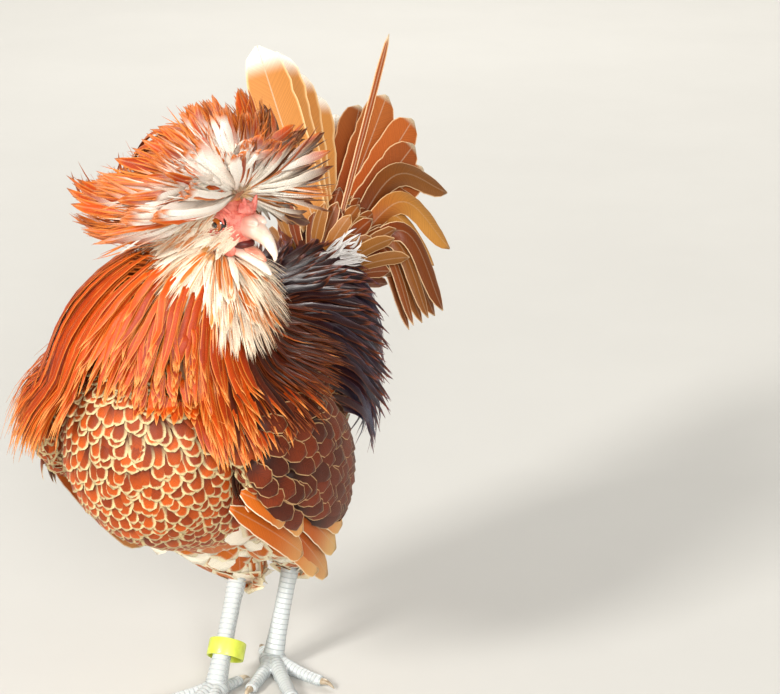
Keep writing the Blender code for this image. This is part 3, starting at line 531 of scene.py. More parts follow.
def layered(tree: bpy.types.NodeTree, lowest: str,
            layers: Iterable[tuple]) -> bpy.types.NodeSocket | tuple[float, ...]:
    """Lays colours over one another, each as thick as a value says.

    A layer is its colour and a value that runs from 0 to 1, or a colour, a value, low
    and high, and the thicknesses there, if they aren't 0 and 1. Between low and high
    the thickness follows a smooth step.

    Args:
        tree: The tree that the nodes go into.
        lowest: The colour under all layers.
        layers: The layers from the lowest up.

    Returns:
        The socket of the layered colour.
    """
    colour = linear(lowest)
    for over, share, *limits in layers:
        if limits:
            named = dict(zip(("From Min", "From Max", "To Min", "To Max"), limits))
            share = add_node(tree, "ShaderNodeMapRange", {"Value": share, **named},
                             interpolation_type="SMOOTHSTEP").outputs["Result"]
        colour = add_node(tree, "ShaderNodeMix", {"Factor": share, 6: colour, 7: linear(over)},
                          data_type="RGBA").outputs[2]
    return colour


@dataclass(frozen=True)
class Feathering:
    """A feather's keratin: matt, softly sheened, streaked by its barbs.

    The vane's heart shades into a lacing along its rim. Its root is down, and its end
    may be tipped. Sizes are in millimetres.
    """

    name: str
    heart: str
    deep: str
    lace: str
    down: str = "#CDB79A"
    tip: str = "#E8C888"
    second: str = "#F0E0C0"
    lace_mm: float = 1.5
    lace_soft_mm: float = 0.7
    down_until: float = 0.30
    tip_from: float = 2.0
    barb_depth: float = 0.22
    shaft: float = 0.25
    roughness: float = 0.52
    sheen: float = 0.06
    sheen_tint: str = "#FFE2C0"

    WOBBLE, INNER = 1.1, 1.55  # how far barbs push the lacing's edge, and where it is, in lacings
    SHAFT_MM = (0.25, 0.7)  # half width of the shaft, where it begins to fade and has faded

    def material(self) -> bpy.types.Material:
        """The shader. It reads the numbers that every feather carries.

        Returns:
            The material.
        """
        made, (rim, run, tone, shade, mid, barb) = blank_material(
            self.name, "rim", "run", "tone", "shade", "mid", "barb")
        tree = made.node_tree
        streak = add_node(tree, "ShaderNodeTexNoise", {"W": barb, "Scale": 1.0, "Detail": 2.0,
                                                       "Roughness": 0.65}, noise_dimensions="1D").outputs[0]
        edge = add_node(tree, "ShaderNodeMath", {0: streak, 1: self.lace_mm * self.WOBBLE, 2: rim},
                        operation="MULTIPLY_ADD").outputs[0]
        inner = self.lace_mm * self.INNER
        layers = [(self.deep, tone),
                  (self.lace, edge, inner - self.lace_soft_mm, inner + self.lace_soft_mm, 1.0, 0.0),
                  (self.second, shade)]
        if self.tip_from < 1.0:
            layers.append((self.tip, run, self.tip_from, min(self.tip_from + 0.12, 1.0)))
        if self.down_until > 0.0:
            layers.append((self.down, run, self.down_until * 0.5, self.down_until * 1.4, 1.0, 0.0))
        if self.shaft > 0.0:
            layers.append((self.down, mid, *self.SHAFT_MM, self.shaft, 0.0))
        colour = layered(tree, self.heart, layers)
        light = add_node(tree, "ShaderNodeMapRange",
                         {"Value": streak, "From Min": 0.25, "From Max": 0.75,
                          "To Min": 1.0 - self.barb_depth, "To Max": 1.0 + self.barb_depth * 0.5},
                         interpolation_type="SMOOTHSTEP").outputs["Result"]
        grey = add_node(tree, "ShaderNodeCombineColor", {0: light, 1: light, 2: light})
        barbed = add_node(tree, "ShaderNodeMix", {"Factor": 1.0, 6: colour, 7: grey.outputs[0]},
                          data_type="RGBA", blend_type="MULTIPLY")
        bump = add_node(tree, "ShaderNodeBump", {"Height": streak, "Strength": 0.35, "Distance": 0.0004})
        shader = add_node(tree, "ShaderNodeBsdfPrincipled", {
            "Base Color": barbed.outputs[2], "Roughness": self.roughness, "Specular IOR Level": 0.25,
            "Sheen Weight": self.sheen, "Sheen Roughness": 0.45,
            "Sheen Tint": linear(self.sheen_tint), "Normal": bump.outputs[0]})
        add_node(tree, "ShaderNodeOutputMaterial", {"Surface": shader.outputs[0]})
        return made


@dataclass(frozen=True)
class Hide:
    """Skin, horn, scale or plastic: a base colour varied by a noise, and a gloss.

    The noise is read on Object coordinates at a grain in millimetres.
    """

    name: str
    light: str
    dark: str
    grain_mm: float = 2.0
    bump_mm: float = 0.1
    roughness: float = 0.5
    coat: float = 0.0
    subsurface: float = 0.0
    cells: bool = False
    groove: str = ""

    def material(self) -> bpy.types.Material:
        """The shader of the finish. With a groove colour it reads where plates and grooves are.

        Returns:
            The material.
        """
        made, numbers = blank_material(self.name, *(("plated", "groove") if self.groove else ()))
        tree = made.node_tree
        place = add_node(tree, "ShaderNodeTexCoord").outputs["Object"]
        scale = 1.0 / (self.grain_mm * MM)
        if self.cells:
            pattern = add_node(tree, "ShaderNodeTexVoronoi", {"Vector": place, "Scale": scale},
                               feature="DISTANCE_TO_EDGE")
            grain = add_node(tree, "ShaderNodeMapRange", {"Value": pattern.outputs[0], "From Max": 0.18},
                             interpolation_type="SMOOTHSTEP").outputs["Result"]
        else:
            grain = add_node(tree, "ShaderNodeTexNoise", {"Vector": place, "Scale": scale, "Detail": 4.0,
                                                          "Roughness": 0.6}).outputs[0]
        broad = add_node(tree, "ShaderNodeTexNoise", {"Vector": place, "Scale": scale / 5.0, "Detail": 3.0})
        mixed = add_node(tree, "ShaderNodeMath", {0: grain, 1: 0.5, 2: broad.outputs[0]},
                         operation="MULTIPLY_ADD").outputs[0]
        layers = [(self.light, mixed, 0.45, 1.05)]
        if self.groove:
            plated, groove = numbers
            layers += [(self.light, plated), (self.groove, groove)]
            grain = add_node(tree, "ShaderNodeMix", {"Factor": plated, 2: grain, 3: 0.8}).outputs[0]
        bump = add_node(tree, "ShaderNodeBump", {"Height": grain, "Strength": 0.6,
                                                 "Distance": self.bump_mm * MM})
        shader = add_node(tree, "ShaderNodeBsdfPrincipled", {
            "Base Color": layered(tree, self.dark, layers), "Roughness": self.roughness,
            "Coat Weight": self.coat, "Coat Roughness": 0.08, "Subsurface Weight": self.subsurface,
            "Subsurface Radius": (1.0, 0.35, 0.2), "Subsurface Scale": 0.002, "Normal": bump.outputs[0]})
        add_node(tree, "ShaderNodeOutputMaterial", {"Surface": shader.outputs[0]})
        return made


@dataclass(frozen=True)
class Iris:
    """A cock's eye: black pupil, orange-red iris with fine spokes, and a wet cornea."""

    name: str = "wet_eye"
    pupil: float = 21.0  # half the angle that the pupil spans, in degrees
    iris: float = 50.0

    def material(self) -> bpy.types.Material:
        """The shader. It reads the angle off the eye's own axis, in degrees.

        Returns:
            The material.
        """
        made, (facing,) = blank_material(self.name, "facing")
        tree = made.node_tree
        place = add_node(tree, "ShaderNodeTexCoord").outputs["Object"]
        spokes = add_node(tree, "ShaderNodeTexNoise", {"Vector": place, "Scale": 2200.0, "Detail": 2.0})
        colour = layered(tree, "#7A2408", [
            ("#D8781E", spokes.outputs[0]),
            ("#050302", facing, self.pupil - 1.5, self.pupil + 1.5, 1.0, 0.0),
            ("#180A06", facing, self.iris - 6, self.iris)])
        shader = add_node(tree, "ShaderNodeBsdfPrincipled", {
            "Base Color": colour, "Roughness": 0.12, "Coat Weight": 1.0, "Coat Roughness": 0.02})
        add_node(tree, "ShaderNodeOutputMaterial", {"Surface": shader.outputs[0]})
        return made


# ------------------------------------------------------------------------ the skin
TORSO = Loft((
    (0.0, -0.154, 0.222, 0.0, 0.0),
    (0.0, -0.135, 0.221, 0.052, 0.056),
    (0.0, -0.100, 0.216, 0.072, 0.076),
    (0.0, -0.050, 0.211, 0.081, 0.086),
    (0.0, 0.000, 0.210, 0.079, 0.084),
    (0.0, 0.050, 0.222, 0.068, 0.070),
    (0.0, 0.095, 0.240, 0.052, 0.053),
    (0.0, 0.130, 0.258, 0.036, 0.036),
    (0.0, 0.152, 0.269, 0.0, 0.0),
))
NECK = Loft((
    (0.000, -0.064, 0.222, 0.0, 0.0),
    (0.000, -0.073, 0.238, 0.070, 0.064),
    (0.002, -0.082, 0.268, 0.062, 0.056),
    (0.011, -0.089, 0.298, 0.047, 0.044),
    (0.024, -0.091, 0.324, 0.031, 0.030),
    (0.037, -0.091, 0.346, 0.0, 0.0),
), up=(0.0, 1.0, 0.0))
BELL = Loft((  # what the cape lies on
    (0.000, -0.060, 0.216, 0.0, 0.0),
    (0.000, -0.072, 0.240, 0.083, 0.077),
    (0.002, -0.082, 0.270, 0.074, 0.069),
    (0.009, -0.088, 0.298, 0.058, 0.054),
    (0.021, -0.091, 0.324, 0.040, 0.038),
    (0.032, -0.091, 0.343, 0.024, 0.024),
    (0.039, -0.090, 0.354, 0.0, 0.0),
), up=(0.0, 1.0, 0.0))
MANTLE = Loft((  # torso and closed wings under one surface, which the cape falls over
    (0.0, -0.158, 0.212, 0.0, 0.0),
    (0.0, -0.140, 0.212, 0.071, 0.052),
    (0.0, -0.106, 0.209, 0.099, 0.070),
    (0.0, -0.066, 0.206, 0.115, 0.078),
    (0.0, -0.020, 0.200, 0.114, 0.076),
    (0.0, 0.030, 0.190, 0.098, 0.066),
    (0.0, 0.075, 0.185, 0.0, 0.0),
))
TAIL_ROOT = Loft((
    (0.0, 0.126, 0.262, 0.0, 0.0),
    (0.0, 0.138, 0.274, 0.026, 0.024),
    (0.0, 0.150, 0.292, 0.024, 0.019),
    (-0.001, 0.158, 0.308, 0.0, 0.0),
), up=(0.0, 1.0, 0.0))
WING_OUT = {RIGHT: 1.06, LEFT: 1.0}  # the right wing is held further out


def wing_loft(side: float) -> Loft:
    """One wing's flesh."""
    flesh = (
        (0.068, -0.130, 0.236, 0.0, 0.0),
        (0.077, -0.112, 0.229, 0.013, 0.026),
        (0.083, -0.075, 0.212, 0.014, 0.042),
        (0.083, -0.035, 0.190, 0.012, 0.042),
        (0.080, -0.005, 0.170, 0.008, 0.034),
        (0.077, 0.018, 0.152, 0.0, 0.0),
    )
    return Loft(tuple((x * side * WING_OUT[side], *rest) for x, *rest in flesh))


HEAD_AT = np.array((0.050, -0.088, 0.367))
HEAD_TURN, HEAD_DROP = math.radians(78.0), math.radians(3.0)


def head_axes() -> Array:
    """The head's own directions, from its turn to the left and its droop.

    Returns:
        Forward, left and up as the rows of a matrix.
    """
    flat = np.array((math.sin(HEAD_TURN), -math.cos(HEAD_TURN), 0.0))
    forward = math.cos(HEAD_DROP) * flat - math.sin(HEAD_DROP) * UP
    left = np.cross(UP, flat)
    return np.stack([forward, left, np.cross(forward, left)])


AXES = head_axes()
FORWARD, HEAD_LEFT, HEAD_UP = AXES


def in_head(points: Array) -> Array:
    """Points given in the head's own axes, in the bird's."""
    return HEAD_AT + np.asarray(points, float) @ AXES


def from_head(points: Array) -> Array:
    """Points given in the bird's axes, in the head's own."""
    return (points - HEAD_AT) @ AXES.T


def head_loft(*stations: tuple[float, ...]) -> Loft:
    """A loft whose stations are given in the head's own axes.

    Args:
        *stations: Centre, half width and half height of each section.

    Returns:
        The loft in the bird's axes.
    """
    table = np.array(stations)
    table[:, :3] = in_head(table[:, :3])
    return Loft(tuple(map(tuple, table)))


SKULL = head_loft(
    (-0.027, 0.0, -0.002, 0.0, 0.0),
    (-0.019, 0.0, 0.000, 0.0130, 0.0140),
    (-0.004, 0.0, 0.001, 0.0160, 0.0170),
    (0.012, 0.0, -0.002, 0.0125, 0.0145),
    (0.021, 0.0, -0.005, 0.0, 0.0),
)
THROAT = head_loft(
    (-0.004, 0.0, -0.016, 0.0, 0.0),
    (-0.002, 0.0, -0.026, 0.0170, 0.0150),
    (0.004, 0.0, -0.040, 0.0190, 0.0165),
    (0.008, 0.0, -0.052, 0.0140, 0.0120),
    (0.010, 0.0, -0.060, 0.0, 0.0),
)
KNOB_AT, KNOB = (-0.013, 0.0, 0.0300), np.array((0.0330, 0.0360, 0.0220))
MUFF_AT, MUFF = np.array((-0.006, 0.0165, -0.0200)), np.array((0.0150, 0.0100, 0.0120))
FOOT_AT = {RIGHT: (0.000, -0.032), LEFT: (0.013, 0.029)}
HOCK_AT = {RIGHT: (-0.010, 0.026, 0.084), LEFT: (0.018, 0.056, 0.089)}
HIP_AT = {RIGHT: (-0.036, -0.012, 0.150), LEFT: (0.036, 0.006, 0.152)}
THIGH_RADIUS, HOCK_RADIUS = 0.040, 0.013
# How far the skin lies off each loft: plumage fills the rest.
TORSO_OFF, NECK_OFF, TAIL_OFF, THROAT_OFF = -0.006, -0.004, -0.003, -0.003
SKULL_OFF, WING_OFF, THIGH_OFF = -0.0012, -0.0065, -0.004
KNOB_SKIN = 0.84  # the knob's skin, over the knob's own size
COVER_OFF = {RIGHT: 0.0065, LEFT: 0.0035}  # how far above a wing's flesh the saddle lies


def thigh(side: float) -> Loft:
    """The feathered leg from inside the flank to the hock.

    Args:
        side: RIGHT or LEFT.

    Returns:
        The loft.
    """
    hip, hock = np.array(HIP_AT[side]), np.array(HOCK_AT[side])
    upward = unit(hip - hock)
    middle = hip * 0.45 + hock * 0.55
    return Loft((
        (*(hip + upward * THIGH_RADIUS), 0.0, 0.0),
        (*hip, THIGH_RADIUS, THIGH_RADIUS * 1.1),
        (*middle, THIGH_RADIUS * 0.72, THIGH_RADIUS * 0.82),
        (*hock, HOCK_RADIUS, HOCK_RADIUS),
        (*(hock - upward * 0.016), 0.0, 0.0),
    ), up=(0.0, 1.0, 0.0))


@dataclass
class Roots:
    """Where feathers leave the skin: places, outward directions and bake places."""

    at: Array
    out: Array
    bake: Array

    def __len__(self) -> int:
        """How many there are."""
        return len(self.at)

    def kept(self, mask: Array) -> "Roots":
        """The roots that a mask keeps."""
        return Roots(self.at[mask], self.out[mask], self.bake[mask])


@dataclass
class Surface:
    """A closed surface that can be asked for its nearest places."""

    tree: BVHTree
    normals: Array | None = None
    bake: Array | None = None

    @staticmethod
    def of(shape: Shape) -> "Surface":
        """The surface of a shape."""
        faces = [list(map(int, face)) for block in shape.faces for face in block]
        return Surface(BVHTree.FromPolygons(list(map(Vector, shape.verts)), faces))

    def nearest(self, points: Array) -> tuple[Array, Array, Array]:
        """The nearest place to each point.

        Args:
            points: One row each.

        Returns:
            The places, the directions out of the surface there, and their faces.
        """
        found = [self.tree.find_nearest(Vector(p)) for p in points]
        near = np.array([hit[0][:] for hit in found])
        out = np.array([hit[1][:] for hit in found])
        return near, out, np.array([hit[2] for hit in found])


@dataclass
class Skin:
    """One closed skin under all plumage, fused from the body's lofts."""

    shop: Workshop
    voxel: float = 0.0021
    body: Surface | None = None

    # Bare bird skin: pale brown and matt, it darkens what shows between feathers.
    FINISH = Hide("quilled_skin", "#D2A07C", "#A8683E", grain_mm=3.0, bump_mm=0.2, roughness=0.8)

    def build(self) -> bpy.types.Object:
        """Fuses the skin, unwraps it and keeps it for the feathers' roots.

        Returns:
            The skin.
        """
        lofts = [TORSO.shape(40, 64, TORSO_OFF), NECK.shape(24, 48, NECK_OFF),
                 TAIL_ROOT.shape(14, 32, TAIL_OFF), THROAT.shape(16, 32, THROAT_OFF),
                 SKULL.shape(20, 36, SKULL_OFF), ball(in_head(KNOB_AT), KNOB * KNOB_SKIN, AXES),
                 *[ball(in_head(MUFF_AT * (1, side, 1)), MUFF * 0.7, AXES) for side in (RIGHT, LEFT)],
                 *[wing_loft(side).shape(24, 40, WING_OFF) for side in (RIGHT, LEFT)],
                 *[thigh(side).shape(24, 40, THIGH_OFF) for side in (RIGHT, LEFT)]]
        skin = remeshed(self.shop.mesh("skin", Shape.joined(lofts)), self.voxel, 6)
        self.unwrap(skin)
        self.read(painted(skin, self.FINISH))
        return self.shop.keep(skin, "red_skin", "torso", "neck", "rump", "head")

    def unwrap(self, skin: bpy.types.Object) -> None:
        """Lays the skin out flat on the bake map, by its own slopes.

        Args:
            skin: The skin, which is given the map.
        """
        skin.data.uv_layers.new(name=BAKE_MAP)
        bpy.context.view_layer.objects.active = skin
        skin.select_set(True)
        bpy.ops.object.mode_set(mode="EDIT")
        bpy.ops.mesh.select_all(action="SELECT")
        bpy.ops.uv.smart_project(angle_limit=math.radians(66), island_margin=0.004)
        bpy.ops.object.mode_set(mode="OBJECT")
        skin.select_set(False)

    def read(self, skin: bpy.types.Object) -> None:
        """Keeps the skin's faces, smooth directions and bake places as arrays.

        Args:
            skin: The unwrapped skin.
        """
        data = skin.data
        points, smooth = self.shop.places(skin), vertex_rows(skin, "normal")
        data.calc_loop_triangles()
        count = len(data.loop_triangles)
        tris = np.empty(count * 3, np.int32)
        data.loop_triangles.foreach_get("vertices", tris)
        loops = np.empty(count * 3, np.int32)
        data.loop_triangles.foreach_get("loops", loops)
        places = np.empty(len(data.loops) * 2)
        data.uv_layers[BAKE_MAP].data.foreach_get("uv", places)
        tree = BVHTree.FromPolygons(list(map(Vector, points)), tris.reshape(-1, 3).tolist())
        normals = unit(smooth[tris].reshape(-1, 3, 3).mean(axis=1))
        bake = places.reshape(-1, 2)[loops].reshape(-1, 3, 2).mean(axis=1)
        self.body = Surface(tree, normals, bake)

    def rooted(self, points: Array) -> Roots:
        """The roots at the places of the skin that are nearest to these points."""
        near, _, face = self.body.nearest(points)
        return Roots(near, self.body.normals[face], self.body.bake[face])

    def roots(self, points: Array, within: float = 0.004) -> tuple[Roots, Array]:
        """Brings places on to the skin.

        Args:
            points: Places on the lofts.
            within: A place further than this from the skin is inside the body.

        Returns:
            The roots of the places that stay, and the mask of those.
        """
        roots = self.rooted(points)
        kept = np.linalg.norm(points - roots.at, axis=1) < within
        return roots.kept(kept), kept


# --------------------------------------------------------------------- the plumage
class Outline(Enum):
    """Shapes of a vane: half width as a share of the widest, at shares of its length."""

    SCALLOP = ((0.0, 0.30), (0.25, 0.70), (0.50, 0.93), (0.68, 1.0), (0.82, 0.92), (0.92, 0.68),
               (0.97, 0.42), (1.0, 0.10))
    LANCE = ((0.0, 0.30), (0.15, 0.62), (0.35, 0.88), (0.55, 1.0), (0.72, 0.86), (0.86, 0.52),
             (0.95, 0.22), (1.0, 0.03))
    LEAF = ((0.0, 0.34), (0.20, 0.62), (0.45, 0.92), (0.65, 1.0), (0.80, 0.88), (0.91, 0.58),
            (0.97, 0.28), (1.0, 0.04))
    SICKLE = ((0.0, 0.35), (0.20, 0.72), (0.50, 1.0), (0.80, 0.94), (0.92, 0.70), (0.98, 0.34),
              (1.0, 0.08))
    TUFT = ((0.0, 0.45), (0.3, 0.9), (0.6, 1.0), (0.8, 0.78), (0.92, 0.45), (1.0, 0.05))
    FLIGHT = ((0.0, 0.22), (0.12, 0.62), (0.30, 0.86), (0.60, 1.0), (0.82, 1.0), (0.90, 0.88),
              (0.955, 0.66), (0.985, 0.40), (1.0, 0.12))

    def widths(self, stations: int) -> Array:
        """Half widths at so many even stations, as shares of the widest."""
        table = np.array(self.value)
        return np.interp(np.linspace(0.0, 1.0, stations), table[:, 0], table[:, 1])


@dataclass
class Plumes:
    """Many like feathers, each with as many stations.

    Spines and outward directions are (feather, station, 3), half widths and shades
    (feather, station), and each feather has one tone.
    """

    roots: Roots
    spine: Array
    out: Array
    half: Array
    tone: Array
    shade: Array

    def kept(self, mask: Array) -> "Plumes":
        """The feathers that a mask keeps."""
        return Plumes(self.roots.kept(mask), self.spine[mask], self.out[mask], self.half[mask],
                      self.tone[mask], self.shade[mask])


@dataclass(frozen=True)
class Vane:
    """How a feather's vane is cut, cupped and split.

    A section's points lie at shares a of the half width w: side * a w, lowered by
    cup * w * a^2, with the two faces thickness * (1 - |a|) above and below it. The
    rim is notched by a seeded share of w on each side.
    """

    across: tuple[float, ...] = (-1.0, -0.5, 0.0, 0.5, 1.0)
    thick: float = 0.00014
    cup: float = 0.22
    ragged: float = 0.10
    barb_mm: float = 0.7

    SLIM = (-1.0, 0.0, 1.0)  # what lies across a hackle or a barb
    BROAD = (-1.0, -0.66, -0.33, 0.0, 0.33, 0.66, 1.0)  # and across a flight feather
    THIN_END = 0.45  # thickness at the tip over the root's
    SLANT = 1.1  # how far the barbs run towards the tip, over their way to the rim
    TONE_STEP = 61.0  # how far apart two feathers' streaks are, in barbs, at tones 0 and 1

    def mesh(self, shop: Workshop, name: str, plumes: Plumes, finish: Feathering) -> bpy.types.Object:
        """Builds the mesh of the feathers with all that their finish reads.

        Args:
            shop: Where the mesh is made.
            name: The object's name.
            plumes: The feathers.
            finish: What they are made of.

        Returns:
            The object.
        """
        count, stations = plumes.half.shape
        a = np.array(self.across)
        along = unit(np.gradient(plumes.spine, axis=1))
        side = unit(np.cross(along, plumes.out))
        rise = np.cross(side, along)
        steps = np.linalg.norm(np.diff(plumes.spine, axis=1), axis=2)
        run = np.concatenate([np.zeros((count, 1)), np.cumsum(steps, axis=1)], axis=1)
        left, right = (shop.draw.uniform(1 - self.ragged, 1 + self.ragged * 0.3, (count, stations, 1))
                       for _ in range(2))
        half = plumes.half[..., None] * np.where(a < 0, left, right)
        flat = half * a
        fall = self.cup * plumes.half[..., None] * a**2
        taper = np.linspace(1.0, self.THIN_END, stations)[:, None]
        lift = self.thick * taper * (1 - np.abs(a))
        inner = slice(len(a) - 2, 0, -1)
        flat_ring = np.concatenate([flat, flat[..., inner]], axis=2)
        rise_ring = np.concatenate([lift - fall, (-lift - fall)[..., inner]], axis=2)
        verts = (plumes.spine[:, :, None] + flat_ring[..., None] * side[:, :, None]
                 + rise_ring[..., None] * rise[:, :, None])
        ring = flat_ring.shape[2]
        size = stations * ring
        whole = grid_faces(stations, ring)
        first = np.arange(ring)[::-1][None]
        last = (size - ring + np.arange(ring))[None]
        if self.turned_in(verts[0], whole):
            whole, first, last = whole[:, ::-1], first[:, ::-1], last[:, ::-1]
        starts = (np.arange(count) * size)[:, None, None]
        faces = [(block + starts).reshape(-1, block.shape[1]) for block in (whole, first, last)]
        obj = shop.mesh(name, Shape(verts.reshape(-1, 3), faces))
        reach = run[:, -1:, None] - run[..., None]
        depth = np.abs(np.concatenate([half, half[..., inner]], axis=2)) - np.abs(flat_ring)
        values = {
            "rim": np.minimum(depth, reach * 0.9) / MM,
            "run": (run / run[:, -1:])[..., None] * np.ones(ring),
            "mid": np.abs(flat_ring) / MM,
            "barb": (run[..., None] - self.SLANT * np.abs(flat_ring)) / (self.barb_mm * MM)
            + self.TONE_STEP * plumes.tone[:, None, None],
            "tone": plumes.tone[:, None, None] * np.ones((1, stations, ring)),
            "shade": plumes.shade[:, :, None] * np.ones(ring),
        }
        for key, value in values.items():
            attribute(obj, key, value)
        u = 0.5 + 0.5 * np.concatenate([a, a[inner]])
        patch = np.stack(np.broadcast_arrays(u, (run / run[:, -1:])[..., None]), -1)
        bake_map(obj, (plumes.roots.bake[:, None, None] + PATCH * (patch - 0.5)).reshape(-1, 2))
        self.crease(obj, ring, len(a))
        return painted(obj, finish)

    @staticmethod
    def turned_in(verts: Array, quads: Array) -> bool:
        """Whether the faces of one feather point inwards, by its signed volume.

        Args:
            verts: The feather's points, ring by ring.
            quads: Its quads.

        Returns:
            True where its volume is less than none.
        """
        corners = verts.reshape(-1, 3)[quads]
        middle = corners.mean(axis=(0, 1))
        a, b, c, d = (corners[:, k] - middle for k in range(4))
        volume = np.einsum("ij,ij->i", a, np.cross(b, c)) + np.einsum("ij,ij->i", a, np.cross(c, d))
        return float(volume.sum()) < 0

    @staticmethod
    def crease(obj: bpy.types.Object, ring: int, across: int) -> None:
        """Marks the rims as sharp, so that each face of a vane is shaded as one.

        Args:
            obj: The feathers' object.
            ring: How many points a section has.
            across: How many of them lie on one face.
        """
        edges = np.empty(len(obj.data.edges) * 2, np.int32)
        obj.data.edges.foreach_get("vertices", edges)
        edges = edges.reshape(-1, 2)
        place = edges % ring
        rim = (place[:, 0] == place[:, 1]) & ((place[:, 0] == 0) | (place[:, 0] == across - 1))
        sharp = obj.data.attributes.new("sharp_edge", "BOOLEAN", "EDGE")
        sharp.data.foreach_set("value", rim)


@dataclass
class Ground:
    """Bodies that feathers lie on."""

    bodies: list[Surface]

    def settle(self, place: Array, height: Array, within: float) -> tuple[Array, Array, Array]:
        """Brings places down to a height over the uppermost body below them.

        Args:
            place: One row for each feather.
            height: The height each is to keep.
            within: A place higher than this over its height stays where it is.

        Returns:
            The places, the directions out of what lies below, and which were moved.
        """
        moved = np.zeros(len(place), bool)
        out = np.zeros_like(place)
        for _ in range(2):
            best = np.full(len(place), np.inf)
            near, normal = np.zeros_like(place), np.zeros_like(place)
            for body in self.bodies:
                at, away, face = body.nearest(place)
                away = away if body.normals is None else body.normals[face]
                high = np.einsum("ij,ij->i", place - at, away)
                far = np.linalg.norm(place - at, axis=1)
                high = np.where(np.abs(high) < 0.6 * far, far, high)
                closer = high < best
                best = np.where(closer, high, best)
                near[closer], normal[closer] = at[closer], away[closer]
            now = best < height + within
            place = np.where(now[:, None], near + normal * height[:, None], place)
            out = np.where(now[:, None], normal, out)
            moved |= now
            within = 0.0005
        return place, out, moved

    def lay(self, roots: Roots, heading: Array, length: Array, heights: Array,
            fall: Array = UP * 0.0, within: float = 0.02, sink: float = 0.003) -> tuple[Array, Array]:
        """Lets feathers run over the bodies, station by station.

        Each step goes on along the last heading, bent by the fall, and is brought down
        to its height. The next heading is the way that the step has really gone.

        Args:
            roots: Where the feathers leave the skin.
            heading: Where each starts to.
            length: How long each is.
            heights: Height of each station over what lies below, (feather, station).
            fall: What is added to the heading on the way, in all.
            within: A feather this much too high is brought down.
            sink: How deep the root is below the skin.

        Returns:
            The spines and their outward directions, (feather, station, 3).
        """
        steps = heights.shape[1] - 1
        heading = unit(heading)
        place, out = roots.at, roots.out
        spines, outs = [roots.at - roots.out * sink], [roots.out]
        for k in range(steps):
            heading = unit(heading + fall / steps)
            step = place + heading * (length / steps)[:, None]
            step, normal, moved = self.settle(step, heights[:, k + 1], within)
            out = unit(np.where(moved[:, None], out + 2.0 * normal, out))
            heading = unit(step - place)
            out = unit(out - heading * np.einsum("ij,ij->i", out, heading)[:, None])
            place = step
            spines.append(place)
            outs.append(out)
        return np.stack(spines, 1), np.stack(outs, 1)


# ----------------------------------------------------------------- the body's coat
def tangent(flow: Array, out: Array) -> Array:
    """The flow with all that leaves the surface taken out, at length one."""
    flow = np.broadcast_to(flow, out.shape)
    return unit(flow - out * np.einsum("ij,ij->i", flow, out)[:, None])


def body_flow(roots: Roots) -> Array:
    """The lie of the coat: down over the breast, and back along flanks and belly."""
    weight = 0.12 + 2.8 * ease(-roots.at[:, 1], 0.03, 0.13)
    return tangent(BACK - weight[:, None] * UP, roots.out)


def from_front(angle: Array) -> Array:
    """How far an angle round the neck is turned from straight ahead to the left."""
    return (angle + 1.5 * math.pi) % (2 * math.pi) - math.pi


def profile(count: int, stations: int, first: float, last: float) -> Array:
    """Heights of every feather's stations, even from the first to the last."""
    return np.tile(first + (last - first) * np.linspace(0.0, 1.0, stations), (count, 1))


def arched(stations: int, climb: float, flare: float) -> Array:
    """Heights of a long feather's stations, as shares of its lift.

    At a share s of the length it is min(climb s, 1), and in the outer half
    flare (2 s - 1)^2 more.

    Args:
        stations: How many stations it has.
        climb: How fast it leaves the skin.
        flare: How far its end stands off.

    Returns:
        One share for each station.
    """
    share = np.linspace(0.0, 1.0, stations)
    return np.minimum(climb * share, 1.0) + flare * np.maximum(2 * share - 1, 0.0) ** 2


